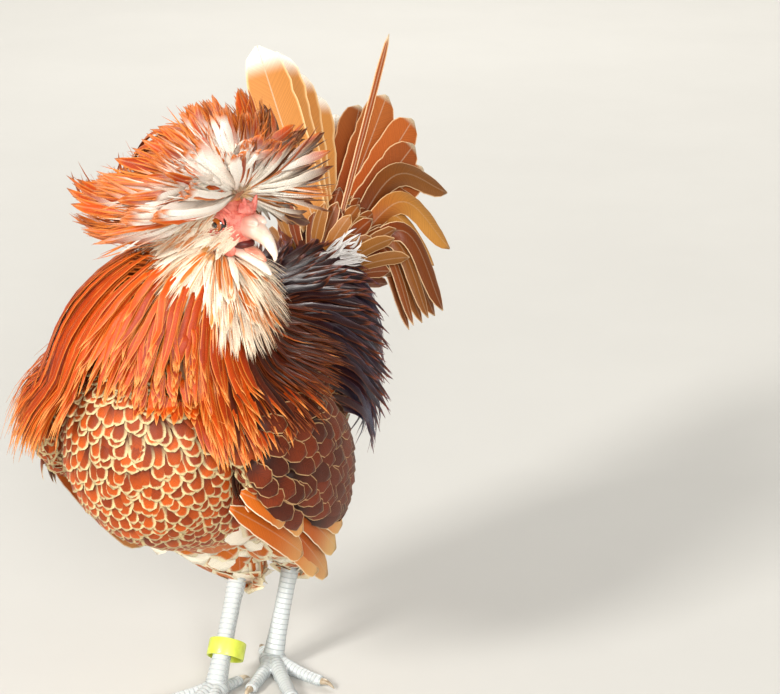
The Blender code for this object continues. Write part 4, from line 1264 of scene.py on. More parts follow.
@dataclass
class BodyCoat:
    """The laced feathers of breast, flanks, belly and back."""

    shop: Workshop
    skin: Skin
    spacing: float = 0.0086
    length: float = 0.0240
    half_width: float = 0.0070
    stations: int = 9

    # Red-buff keratin with a broad pale lacing, which draws the scalloped breast.
    # Its dark root colour shows at the top of each scallop, below the edge of the feather above: partly the
    # base's own colour, partly painted shade.
    BREAST = Feathering("laced_breast_feather", "#C65410", "#822C06", "#DAC592", lace_mm=1.8,
                        lace_soft_mm=0.6, second="#EFD9AE", down="#5A2008", down_until=0.62,
                        shaft=0.0, barb_depth=0.30)
    # Loose half-downy feathers: buff and cream patches round the thighs and the vent.
    BELLY = Feathering("belly_feather", "#D8741E", "#B85812", "#F0E4C2", lace_mm=3.2,
                       lace_soft_mm=1.2, second="#FBF2DE", down="#F8EEDA", down_until=0.30,
                       shaft=0.1, barb_depth=0.25)

    SHOULDER = {RIGHT: 0.42, LEFT: 0.20}  # how far back over the wing the breast's feathers go
    # Pieces of the torso's coat: name, size over the breast's, first and last share.
    TRUNK = (("plumage_breast", 0.88, 0.0, 0.40), ("plumage_body", 1.0, 0.40, 1.0))
    THROAT_HALF = 0.62  # how far the throat's feathers go to each side of the parting, radians
    UNDER, VENT = 0.55, 0.50  # how far under the body flank and belly feathers meet, as a sine
    CREAM_SHARE = 0.34  # how many of the belly's feathers are cream

    def build(self) -> None:
        """Covers the torso, the throat, the belly, the wings' fronts and the thighs."""
        draw = self.shop.draw
        for name, size, first, last in self.TRUNK:
            at, share, angle = TORSO.scatter(self.spacing * size, draw, first, last, grow=TORSO_OFF)
            roots, kept = self.skin.roots(at, 0.009)
            low = (-np.sin(angle[kept]) > self.UNDER) & (share[kept] > 0.30)
            roots = roots.kept(~low)
            self.coat(name, roots, body_flow(roots), size, self.BREAST)
        at, _, angle = NECK.scatter(self.spacing * 0.8, draw, 0.16, 0.66, grow=NECK_OFF)
        front = np.abs(from_front(angle) - PARTING) < self.THROAT_HALF
        roots, _ = self.skin.roots(at[front], 0.008)
        self.coat("plumage_throat", roots, tangent(-UP, roots.out), 0.80, self.BREAST)
        at, _, angle = TORSO.scatter(self.spacing * 1.5, draw, 0.28, 0.97, grow=TORSO_OFF)
        roots, _ = self.skin.roots(at[-np.sin(angle) > self.VENT])
        self.coat("plumage_belly", roots, body_flow(roots), 1.8, self.BELLY, 0.6)
        for word, side in (("right", RIGHT), ("left", LEFT)):
            at, _, _ = wing_loft(side).scatter(self.spacing * 0.9, draw, 0.0, self.SHOULDER[side],
                                               grow=WING_OFF)
            roots, _ = self.skin.roots(at, 0.012)
            self.coat(f"plumage_shoulder_{word}", roots, body_flow(roots), 1.0, self.BREAST)
            at, share, _ = thigh(side).scatter(self.spacing * 1.35, draw, 0.12, 0.97, grow=THIGH_OFF)
            roots, kept = self.skin.roots(at, 0.012)
            low = ease(share[kept], 0.3, 0.9)
            self.coat(f"plumage_thigh_{word}", roots, tangent(-UP + 0.15 * BACK, roots.out),
                      1.7 + 0.6 * low, self.BELLY, 1.6 * low, f"thigh_{word}")

    def coat(self, name: str, roots: Roots, flow: Array, size: Array | float,
             finish: Feathering, loose: Array | float = 0.0, *nodes: str) -> None:
        """Lays laced feathers over one body. Some of the belly's are cream.

        Args:
            name: The object's name.
            roots: Where the feathers leave the skin.
            flow: The ways they lie.
            size: Their size over the breast's.
            finish: What they are made of.
            loose: How far their ends stand off, in centimetres.
            *nodes: The CAD nodes that they replace.
        """
        draw, count, downy = self.shop.draw, len(roots), finish is self.BELLY
        cream = draw.random(count) < self.CREAM_SHARE if downy else np.zeros(count)
        flow = unit(flow + 0.10 * draw.normal(size=flow.shape))
        length = self.length * size * draw.uniform(0.88, 1.12, count)
        heights = profile(count, self.stations, 0.0006, 0.0042)
        heights *= draw.uniform(0.8, 1.3, (count, 1))
        heights += np.reshape(loose, (-1, 1)) * 0.010 * np.linspace(0.0, 1.0, self.stations) ** 1.5
        spine, out = Ground([self.skin.body]).lay(roots, flow, length, heights, -0.15 * UP, within=0.01)
        half = np.reshape(size, (-1, 1)) * self.half_width * Outline.SCALLOP.widths(self.stations)
        half = half * draw.uniform(0.88, 1.1, (count, 1))
        plumes = Plumes(roots, spine, out, half, draw.random(count),
                        cream[:, None] * np.ones(self.stations))
        vane = Vane(cup=0.17, ragged=0.24 if downy else 0.10)
        self.shop.keep(vane.mesh(self.shop, name, plumes, finish), "buff_red_plumage", *nodes)


@dataclass
class Cape:
    """The hackle: long pointed feathers from round the neck over breast and shoulders."""

    shop: Workshop
    skin: Skin
    spacing: float = 0.0046
    half_width: float = 0.0025
    stations: int = 13
    within: float = 0.045  # a feather this much too high over the ground is brought down

    # Glossy orange hackle keratin with pale edges: the brightest colour of the bird.
    FINISH = Feathering("hackle_feather", "#D44E06", "#962A00", "#EA8C38", lace_mm=0.32,
                        lace_soft_mm=0.5, tip_from=0.86, tip="#EE9A50", down="#C05A1A",
                        down_until=0.12, shaft=0.10, roughness=0.40, barb_depth=0.35)
    # The same keratin nearly black-brown, as painted shade over the bird's left shoulder.
    PAINTED_SHADE = Feathering("hackle_feather_painted_shade", "#5C1E08", "#260A04", "#8A4018", lace_mm=0.32,
                        lace_soft_mm=0.5, tip_from=0.92, tip="#B8622A", down="#3A1408",
                        down_until=0.12, shaft=0.10, roughness=0.36, barb_depth=0.35)
    FIRST, LAST = 0.30, 0.93  # where on the neck the cape begins and ends
    LENGTH, LONGER = 0.066, 0.048  # a feather's length at the neck's root, and what it gains upwards
    # Where round the neck, in radians from the front: feet and tops of smooth hills.
    THIN = (0.22, 0.52)  # from the parting: the cape begins higher up, and is shorter
    RIGHTWARD = (0.2, 1.0, 2.2, 2.8)  # to the right: the same, but less
    LONG = (0.45, 0.75, 1.9, 2.4)  # to the left: feathers are twice as long
    STEEP = (0.5, 0.9, 1.9, 2.4)  # to the left: they fall straighter
    SWEPT = (0.5, 0.9, 1.1, 1.7)  # to the left: they are drawn across the breast
    # Painted shade: at these bearings most of the cape takes the nearly black-brown finish.
    DARK, DARK_SHARE = (44.0, 68.0, 150.0, 180.0), 0.94  # bearings where most are dark, degrees
    # How low the tips hang: bearing from the front to the left in degrees, height.
    HEM = ((-180, 0.235), (-90, 0.228), (-49, 0.223), (-28, 0.230), (-15, 0.245), (-4, 0.262),
           (8, 0.274), (20, 0.282), (28, 0.285), (34, 0.262), (40, 0.226), (48, 0.214),
           (66, 0.212), (85, 0.208), (105, 0.208), (130, 0.232), (180, 0.240))

    def build(self, ground: Ground) -> None:
        """Lays the cape over what the ground holds, once freely and once cut to the hem.

        Args:
            ground: The bodies that it lies on.
        """
        draw = self.shop.draw
        at, share, angle = NECK.scatter(self.spacing, draw, self.FIRST, self.LAST, grow=NECK_OFF)
        turn = from_front(angle)
        notch = 1 - ease(np.abs(turn - PARTING), *self.THIN)
        rightward = hill(-turn, *self.RIGHTWARD)
        high = share > self.FIRST + 0.34 * notch + 0.14 * rightward
        roots, kept = self.skin.roots(at[high], 0.006)
        share, angle, turn, notch, rightward = (
            values[high][kept] for values in (share, angle, turn, notch, rightward))
        count = len(roots)
        length = self.LENGTH + self.LONGER * ease(share, self.FIRST, 0.75)
        length *= draw.uniform(0.78, 1.12, count) * (1 - 0.35 * notch) * (1 - 0.30 * rightward)
        length *= 1 + 0.95 * hill(turn, *self.LONG)
        lift = 0.0010 + 0.0085 * (share - self.FIRST) / (1 - self.FIRST)
        heights = lift[:, None] * arched(self.stations, 2.2, 0.9) * draw.uniform(0.7, 1.3, (count, 1))
        forward = hill(turn, *self.SWEPT)[:, None]
        fall = -1.25 * UP + 0.16 * draw.normal(size=(count, 3))
        fall += forward * np.array((-0.30, -0.10, -0.30))
        fall[:, 2] -= 1.2 * hill(turn, *self.STEEP)
        way = 0.6 * roots.out - NECK.along(share, angle) + forward * np.array((-0.15, -0.10, 0.0))
        # Laid freely first: that shows how much of each feather hangs below the hem.
        spine, _ = ground.lay(roots, way, length, heights, fall, self.within)
        length = self.hemmed(spine, length, draw.normal(size=count))
        spine, out = ground.lay(roots, way, length, heights, fall, self.within)
        half = self.half_width * Outline.LANCE.widths(self.stations) * draw.uniform(0.7, 1.25, (count, 1))
        plumes = Plumes(roots, spine, out, half, draw.random(count), np.zeros((count, self.stations)))
        # Painted shade: lances at the DARK bearings take the nearly black-brown finish.
        bearing = self.bearing(spine)[:, self.stations // 2]
        dark = draw.random(count) < self.DARK_SHARE * hill(bearing, *self.DARK)
        vane = Vane(Vane.SLIM, cup=0.30, ragged=0.16, barb_mm=0.8)
        for name, mask, finish in (("plumage_cape", ~dark, self.FINISH),
                                   ("plumage_cape_painted_shade", dark, self.PAINTED_SHADE)):
            self.shop.keep(vane.mesh(self.shop, name, plumes.kept(mask), finish), "buff_red_plumage")

    @staticmethod
    def bearing(place: Array) -> Array:
        """Degrees from straight ahead to the left, seen from the middle of the breast."""
        return np.degrees(np.arctan2(place[..., 0], -(place[..., 1] + 0.06)))

    def hemmed(self, spine: Array, length: Array, spread: Array) -> Array:
        """Lengths that end at the hem those feathers that would hang below it.

        Args:
            spine: The feathers as they would lie, (feather, station, 3).
            length: How long they are.
            spread: By how much each misses the hem, a normal draw.

        Returns:
            The lengths, none longer than before.
        """
        hem = np.array(self.HEM)
        low = np.interp(self.bearing(spine[:, -1]), hem[:, 0], hem[:, 1]) + 0.005 * spread
        below = spine[..., 2] < low[:, None]
        share = np.where(below.any(axis=1), below.argmax(axis=1) / (spine.shape[1] - 1), 1.0)
        return length * np.maximum(share, 0.30)


@dataclass
class Saddle:
    """The long feathers that fall from the rump to both sides."""

    shop: Workshop
    skin: Skin
    spacing: float = 0.0076
    half_width: float = 0.0038
    stations: int = 12

    # Black-brown keratin. The blue tint of its sheen where the light grazes it is a painted reflection of a
    # blue sky.
    FINISH = Feathering("saddle_feather", "#34140A", "#160805", "#6A3416", lace_mm=0.35,
                        lace_soft_mm=0.4, second="#8A431A", tip_from=0.86, tip="#8A4620",
                        down="#3A2A24", down_until=0.16, shaft=0.0, sheen=0.14, sheen_tint="#7F9AE8",
                        roughness=0.32)
    # Loose grey down without a firm vane: a pale matt tuft.
    DOWN = Feathering("grey_down", "#D6D0CC", "#A8A09E", "#E8E4E0", lace_mm=0.8, lace_soft_mm=0.6,
                      down="#B2ABAC", shaft=0.0, roughness=0.7)
    FIRST, LAST = 0.50, 0.93  # where on the torso the saddle begins and ends
    LOW = math.radians(4.0)  # how far above the torso's sides its roots are
    LENGTH, LONGER = 0.058, 0.048  # a feather's length on the spine, and what it gains sideways
    TUFT_SPACING, TUFT_FIRST, TUFT_LAST = 0.0026, 0.80, 0.87  # where on the torso the tuft is
    TUFT_AT, TUFT_HALF = math.radians(64.0), math.radians(9.0)  # the tuft's angle and half width

    def build(self, ground: Ground) -> None:
        """Lays the saddle over what the ground holds, and the tuft of down on it.

        Args:
            ground: The bodies that it lies on.
        """
        draw = self.shop.draw
        at, share, angle = TORSO.scatter(self.spacing, draw, self.FIRST, self.LAST, grow=TORSO_OFF)
        angle = angle % (2 * math.pi)
        above = (angle > self.LOW) & (angle < math.pi - self.LOW)
        roots, kept = self.skin.roots(at[above])
        share, angle = share[above][kept], angle[above][kept]
        count = len(roots)
        sideways = np.cos(angle)
        length = (self.LENGTH + self.LONGER * np.abs(sideways)) * draw.uniform(0.85, 1.12, count)
        lift = 0.0040 + 0.0100 * (self.LAST - share) / (self.LAST - self.FIRST)
        heights = lift[:, None] * arched(self.stations, 2.0, 0.8) * draw.uniform(0.75, 1.25, (count, 1))
        way = 0.6 * TORSO.along(share, angle) + 0.8 * sideways[:, None] * OUT + 0.1 * roots.out
        spine, out = ground.lay(roots, way, length, heights,
                                -1.0 * UP + 0.08 * draw.normal(size=(count, 3)), 0.045)
        half = self.half_width * Outline.LANCE.widths(self.stations) * draw.uniform(0.85, 1.2, (count, 1))
        shade = 0.8 * ease(-spine[..., 0], -0.01, 0.06)
        plumes = Plumes(roots, spine, out, half, draw.random(count), shade).kept(spine[:, -1, 2] > 0.15)
        vane = Vane(Vane.SLIM, cup=0.30, ragged=0.12, barb_mm=0.8)
        self.shop.keep(vane.mesh(self.shop, "plumage_saddle", plumes, self.FINISH), "buff_red_plumage")
        self.tuft(ground)

    def tuft(self, ground: Ground, stations: int = 9) -> None:
        """A loose grey-white tuft before the tail on the left.

        Args:
            ground: The bodies that it lies on.
            stations: How many stations a barb has.
        """
        draw = self.shop.draw
        at, share, angle = TORSO.scatter(self.TUFT_SPACING, draw, self.TUFT_FIRST, self.TUFT_LAST,
                                         grow=TORSO_OFF)
        left = np.abs(angle % (2 * math.pi) - self.TUFT_AT) < self.TUFT_HALF
        roots, kept = self.skin.roots(at[left])
        share, angle, count = share[left][kept], angle[left][kept], len(roots)
        heights = profile(count, stations, 0.006, 0.018) * draw.uniform(0.8, 1.3, (count, 1))
        way = TORSO.along(share, angle) + 0.5 * OUT + 0.3 * roots.out
        length = draw.uniform(0.022, 0.036, count)
        fall = -0.5 * UP + 0.2 * draw.normal(size=(count, 3))
        spine, out = ground.lay(roots, way, length, heights, fall, 0.02)
        half = 0.0013 * Outline.TUFT.widths(stations) * np.ones((count, 1))
        plumes = Plumes(roots, spine, out, half, draw.random(count), np.zeros((count, stations)))
        vane = Vane(Vane.SLIM, cup=0.3, ragged=0.4)
        self.shop.keep(vane.mesh(self.shop, "saddle_down", plumes, self.DOWN), "buff_red_plumage")


@dataclass
class Wing:
    """One closed wing: fanned flight feathers below rows of laced coverts."""

    shop: Workshop
    skin: Skin
    word: str
    side: float
    flights: int = 8
    spacing: float = 0.0100
    stations: int = 18

    # Where the flight feathers begin and end, from the foremost, on a wing of the left side.
    BASES = {
        RIGHT: ((0.078, -0.108, 0.202), (0.084, -0.070, 0.194), (0.085, -0.048, 0.210)),
        LEFT: ((0.060, -0.116, 0.184), (0.078, -0.072, 0.182), (0.085, -0.048, 0.206)),
    }
    TIPS = {
        RIGHT: ((0.071, 0.000, 0.092), (0.075, 0.016, 0.112), (0.079, 0.022, 0.146), (0.080, 0.016, 0.182)),
        LEFT: ((0.078, -0.048, 0.132), (0.070, 0.002, 0.094), (0.078, 0.012, 0.122), (0.079, 0.022, 0.150),
               (0.080, 0.016, 0.182)),
    }
    LAYER = 0.0009  # how far one flight feather lies below the next
    BULGE = 0.005  # how far the flight feathers' middles stand out
    WIDTH, WIDER = 0.0100, 0.0020  # half width of the foremost, and what the last has more
    COVERT_SIZE = {RIGHT: 1.0, LEFT: 1.12}
    COVERT_BULK = {RIGHT: 0.0050, LEFT: 0.0022}  # how far the coverts stand off the wing
    # Two short broad feathers over the foremost of the left wing: base, tip, half width.
    SPOONS = (((0.068, -0.104, 0.192), (0.084, -0.064, 0.157), 0.0088),
              ((0.066, -0.116, 0.196), (0.083, -0.083, 0.169), 0.0105))
    # Stiff buff keratin with a pale shaft and edge: the fan below the wing.
    FLIGHT = Feathering("flight_feather", "#DA7620", "#BC560E", "#FBEACB", lace_mm=0.7, lace_soft_mm=0.4,
                        second="#E8C07A", down_until=0.0, shaft=0.25, barb_depth=0.14)
    # Firm small contour feathers: laced red-buff on the right, and on the left dark brown, which is painted
    # shade.
    COVERTS = {
        RIGHT: Feathering("laced_shoulder_feather", "#B85412", "#842E06", "#DCC28A", lace_mm=1.9,
                          lace_soft_mm=0.5, down="#5A2008", down_until=0.55, shaft=0.0),
        LEFT: Feathering("covert_painted_shade", "#7A2C08", "#481604", "#C9A070", lace_mm=0.6,
                         lace_soft_mm=0.3, down="#2C1006", down_until=0.55, shaft=0.12, barb_depth=0.4),
    }

    def build(self) -> None:
        """Makes the flight feathers and then the coverts."""
        draw, side = self.shop.draw, self.side
        mirror = np.array((side * WING_OUT[side], 1.0, 1.0))
        share = np.linspace(0.0, 1.0, self.flights)
        spoons = np.array([(*b, *t, w) for b, t, w in self.SPOONS if side == LEFT]).reshape(-1, 7)
        base = np.vstack([spline(np.array(self.BASES[side]), share), spoons[:, :3]]) * mirror
        tip = np.vstack([spline(np.array(self.TIPS[side]), share), spoons[:, 3:6]]) * mirror
        tip = tip + draw.normal(size=tip.shape) * (0.0003, 0.0012, 0.0012)
        count = len(tip)
        wide = np.concatenate([self.WIDTH + self.WIDER * share, spoons[:, 6]])[:, None]
        depth = np.concatenate([np.arange(self.flights), -1.5 - np.arange(len(spoons))]) - self.flights / 2
        layer = depth[:, None] * (side * -self.LAYER * OUT)
        run = np.linspace(0.0, 1.0, self.stations)
        bulge = np.sin(math.pi * run)[None, :, None] * (side * self.BULGE * OUT)
        spine = base[:, None] + (tip - base)[:, None] * run[None, :, None] + layer[:, None] + bulge
        out = np.tile(np.array((side, 0.0, 0.12)), (count, self.stations, 1))
        roots = self.skin.rooted(base)
        half = wide * Outline.FLIGHT.widths(self.stations)
        shade = draw.uniform(0.2, 0.9, (count, 1)) * ease(run, 0.5, 1.0)
        plumes = Plumes(roots, spine, out, half, draw.random(count), shade)
        vane = Vane(Vane.BROAD, cup=0.10, ragged=0.05, barb_mm=0.9)
        self.shop.keep(vane.mesh(self.shop, f"flights_{self.word}", plumes, self.FLIGHT),
                       "buff_red_plumage", f"wing_{self.word}")
        self.coverts()

    def coverts(self, stations: int = 9) -> None:
        """Lays the coverts, longer towards the flight feathers.

        Args:
            stations: How many stations a covert has.
        """
        draw, side, loft = self.shop.draw, self.side, wing_loft(self.side)
        size, bulk = self.COVERT_SIZE[side], self.COVERT_BULK[side]
        at, share, angle = loft.scatter(self.spacing * size**0.5, draw, BodyCoat.SHOULDER[side] - 0.08,
                                        0.80, grow=-0.006)
        outer = (side * np.cos(angle) > -0.80) & (np.sin(angle) > -0.97)
        roots, kept = self.skin.roots(at[outer], 0.012)
        share, angle, count = share[outer][kept], angle[outer][kept], len(roots)
        flow = (loft.along(share, angle) - 0.25 * np.sin(angle)[:, None] * UP
                + 0.06 * draw.normal(size=(count, 3)))
        length = size * (0.022 + 0.022 * ease(share, 0.1, 0.75)) * draw.uniform(0.9, 1.1, count)
        heights = profile(count, stations, 0.0008, 0.0044 + bulk)
        heights += (bulk * (1 - ease(share, 0.0, 0.8)))[:, None] * np.linspace(0.2, 1, stations)
        flesh = Surface.of(loft.shape(24, 40, -0.001))
        spine, out = Ground([self.skin.body, flesh]).lay(roots, flow, length, heights, within=0.012)
        wide = size * (0.0070 + 0.0016 * ease(share, 0.1, 0.7)) * draw.uniform(0.9, 1.1, count)
        half = wide[:, None] * Outline.SCALLOP.widths(stations)
        plumes = Plumes(roots, spine, out, half, draw.random(count), np.zeros((count, stations)))
        vane = Vane(cup=0.16, ragged=0.20)
        self.shop.keep(vane.mesh(self.shop, f"coverts_{self.word}", plumes, self.COVERTS[side]),
                       "buff_red_plumage")


# ------------------------------------------------------------------------ the tail
@dataclass
class Tail:
    """The fan of main feathers, the sickles that arch over them, and the coverts."""

    shop: Workshop
    skin: Skin
    stations: int = 22
    base: tuple[float, float, float] = (0.0, 0.146, 0.286)

    # Tips beyond the base from the rear of each half of the fan to its face, half widths.
    FAN = {
        RIGHT: ((-0.034, 0.084, 0.087, 0.0150), (-0.044, 0.062, 0.107, 0.0160),
                (-0.050, 0.042, 0.127, 0.0165), (-0.056, 0.026, 0.142, 0.0170),
                (-0.062, 0.010, 0.148, 0.0170)),
        LEFT: ((-0.018, 0.086, 0.094, 0.0150), (0.003, 0.089, 0.103, 0.0155),
               (0.020, 0.098, 0.084, 0.0155), (0.024, 0.090, 0.066, 0.0150),
               (0.030, 0.092, 0.048, 0.0140), (0.014, 0.064, 0.154, 0.0030)),
    }
    FACES = {RIGHT: (0.55, -0.75, 0.35), LEFT: (0.80, -0.55, 0.25)}
    LOOKS = {RIGHT: (-0.90, 0.10, 0.35), LEFT: (0.80, -0.40, 0.45)}  # of the sickles' faces
    LAYER = 0.0014  # how far one feather of the fan lies behind the next
    EXTRAS = 3  # a sickle and its two slimmer companions
    SMALLER, SLIMMER = 0.17, 0.22  # what each companion loses of its length and its width
    # Sickles of the left side: middle and end of the arch beyond the base, half width.
    SICKLES = (
        ((0.016, 0.056, 0.050), (0.036, 0.110, 0.028), 0.0098),
        ((0.026, 0.044, 0.036), (0.050, 0.080, -0.006), 0.0094),
        ((0.036, 0.026, 0.020), (0.060, 0.042, -0.042), 0.0084),
        ((0.026, 0.036, 0.006), (0.044, 0.058, -0.050), 0.0080),
    )
    # Stiff pale buff keratin with white ends: the half of the fan behind the crest.
    PALE = Feathering("tail_feather", "#D28E46", "#C4803C", "#EEC48C", lace_mm=1.2, lace_soft_mm=1.0,
                      tip="#FFFAEC", tip_from=0.85, second="#84340F", down_until=0.0, shaft=0.6,
                      barb_depth=0.16)
    # The same feather in red-brown with a thin pale edge: the left half.
    DARK = Feathering("tail_feather_red", "#AA4C14", "#7A2E08", "#EAC294", lace_mm=0.8, lace_soft_mm=0.4,
                      tip="#F0D8B4", tip_from=0.955, second="#C67A3C", down_until=0.0, shaft=0.35,
                      barb_depth=0.2)
    # Glossy dark red keratin, pale along its rim: it draws the arches beside the fan.
    SICKLE = Feathering("sickle_feather", "#823408", "#561E04", "#E0BC92", lace_mm=0.6, lace_soft_mm=0.25,
                        second="#BE8238", down_until=0.0, shaft=0.2, barb_depth=0.2, roughness=0.38)

    def build(self) -> None:
        """Makes the fan, the sickles and the coverts."""
        draw, run = self.shop.draw, np.linspace(0.0, 1.0, self.stations)
        vane = Vane((-1.0, -0.75, -0.5, -0.25, 0.0, 0.25, 0.5, 0.75, 1.0), cup=0.08, ragged=0.07,
                    barb_mm=1.0, thick=0.0002)
        for side, finish, name in ((RIGHT, self.PALE, "tail_fan_pale"), (LEFT, self.DARK, "tail_fan_red")):
            table = np.array(self.FAN[side])
            face = unit(self.FACES[side])
            count = len(table)
            base = self.base + np.arange(count)[:, None] * face * self.LAYER
            base = base - BACK * 0.006 * (side == RIGHT)
            bow = BACK * 0.004 * (run**2)[:, None] + face * (np.sin(2.6 * run) * 0.0018)[:, None]
            spine = base[:, None] + table[:, None, :3] * run[None, :, None] + bow
            out = np.tile(face, (count, self.stations, 1))
            half = table[:, 3:4] * Outline.FLIGHT.widths(self.stations)
            shade = 0.5 * draw.random((count, 1)) * ease(run, 0.4, 0.9)
            plumes = Plumes(self.skin.rooted(base), spine, out, half, draw.random(count),
                            shade * (side == LEFT))
            self.shop.keep(vane.mesh(self.shop, name, plumes, finish), "buff_red_plumage",
                           *(["tail"] if side == RIGHT else []))
        self.sickles()
        self.coverts()

    def sickles(self) -> None:
        """The arched feathers at both sides of the fan, each with two slimmer ones."""
        draw, run = self.shop.draw, np.linspace(0.0, 1.0, self.stations)
        base = np.array(self.base)
        spines, outs, wide, golden = [], [], [], []
        for side in (RIGHT, LEFT):
            mirror = np.array((side, 1.0, 1.0))
            for k, (middle, end, half_width) in enumerate(self.SICKLES):
                for extra in range(self.EXTRAS):
                    start = base + (side * (0.012 + 0.002 * k), 0.014 * (side == RIGHT),
                                    -0.002 * k - 0.003 * extra)
                    size = 1.0 - self.SMALLER * extra
                    route = np.array([start, start + np.array(middle) * mirror * size,
                                      start + np.array(end) * mirror * size
                                      + extra * np.array((side * 0.006, -0.010, -0.006))])
                    spines.append(spline(route, run))
                    outs.append(np.tile(self.LOOKS[side], (self.stations, 1)))
                    wide.append(half_width * (1.0 - self.SLIMMER * extra))
                    golden.append(float(k == 1))
        spine = np.stack(spines)
        half = np.array(wide)[:, None] * Outline.SICKLE.widths(self.stations)
        count = len(spine)
        shade = np.maximum(np.array(golden)[:, None], 0.35 * draw.random((count, 1))) * ease(run, 0.1, 0.8)
        plumes = Plumes(self.skin.rooted(spine[:, 0]), spine, np.stack(outs), half, draw.random(count),
                        shade)
        vane = Vane(Vane.BROAD, cup=0.30, ragged=0.05, barb_mm=1.0)
        self.shop.keep(vane.mesh(self.shop, "tail_sickles", plumes, self.SICKLE), "buff_red_plumage")

    def coverts(self, stations: int = 10) -> None:
        """Lays downy and laced feathers round the tail's root.

        Args:
            stations: How many stations a covert has.
        """
        draw = self.shop.draw
        at, share, angle = TAIL_ROOT.scatter(0.0068, draw, 0.0, 0.80, grow=TAIL_OFF)
        roots, kept = self.skin.roots(at)
        count = len(roots)
        way = (TAIL_ROOT.along(share[kept], angle[kept]) + 0.5 * roots.out + 0.25 * BACK
               + 0.1 * draw.normal(size=(count, 3)))
        length = draw.uniform(0.030, 0.052, count)
        steps = profile(count, stations, 0.001, 0.004)
        spine, out = Ground([self.skin.body]).lay(roots, way, length, steps, -0.5 * UP + 0.3 * BACK, 0.0)
        half = 0.0062 * Outline.SCALLOP.widths(stations) * np.ones((count, 1))
        plumes = Plumes(roots, spine, out, half, draw.random(count),
                        0.5 * draw.random((count, 1)) * np.ones(stations))
        self.shop.keep(Vane(ragged=0.14).mesh(self.shop, "tail_coverts", plumes, self.SICKLE),
                       "buff_red_plumage")


# --------------------------------------------------------------- crest and beard
def clumped(tips: Array, draw: np.random.Generator, clumps: int, pull: float) -> Array:
    """How far each tip moves so that neighbours' ends come together.

    Some tips are drawn as the middles of clumps. Every tip goes a share of its way to
    the nearest middle, less so the further that is: in full up to 16 mm, not from 42 mm on.

    Args:
        tips: The feathers' tips, one row each.
        draw: The seeded draw.
        clumps: How many clumps there are.
        pull: The share of the way that a near tip goes.

    Returns:
        One move for each tip.
    """
    middle = tips[draw.choice(len(tips), clumps, replace=False)]
    away = middle[None] - tips[:, None]
    far = np.linalg.norm(away, axis=2)
    nearest = far.argmin(axis=1)
    rows = np.arange(len(tips))
    return away[rows, nearest] * (pull * (1 - ease(far[rows, nearest], 0.016, 0.042)))[:, None]


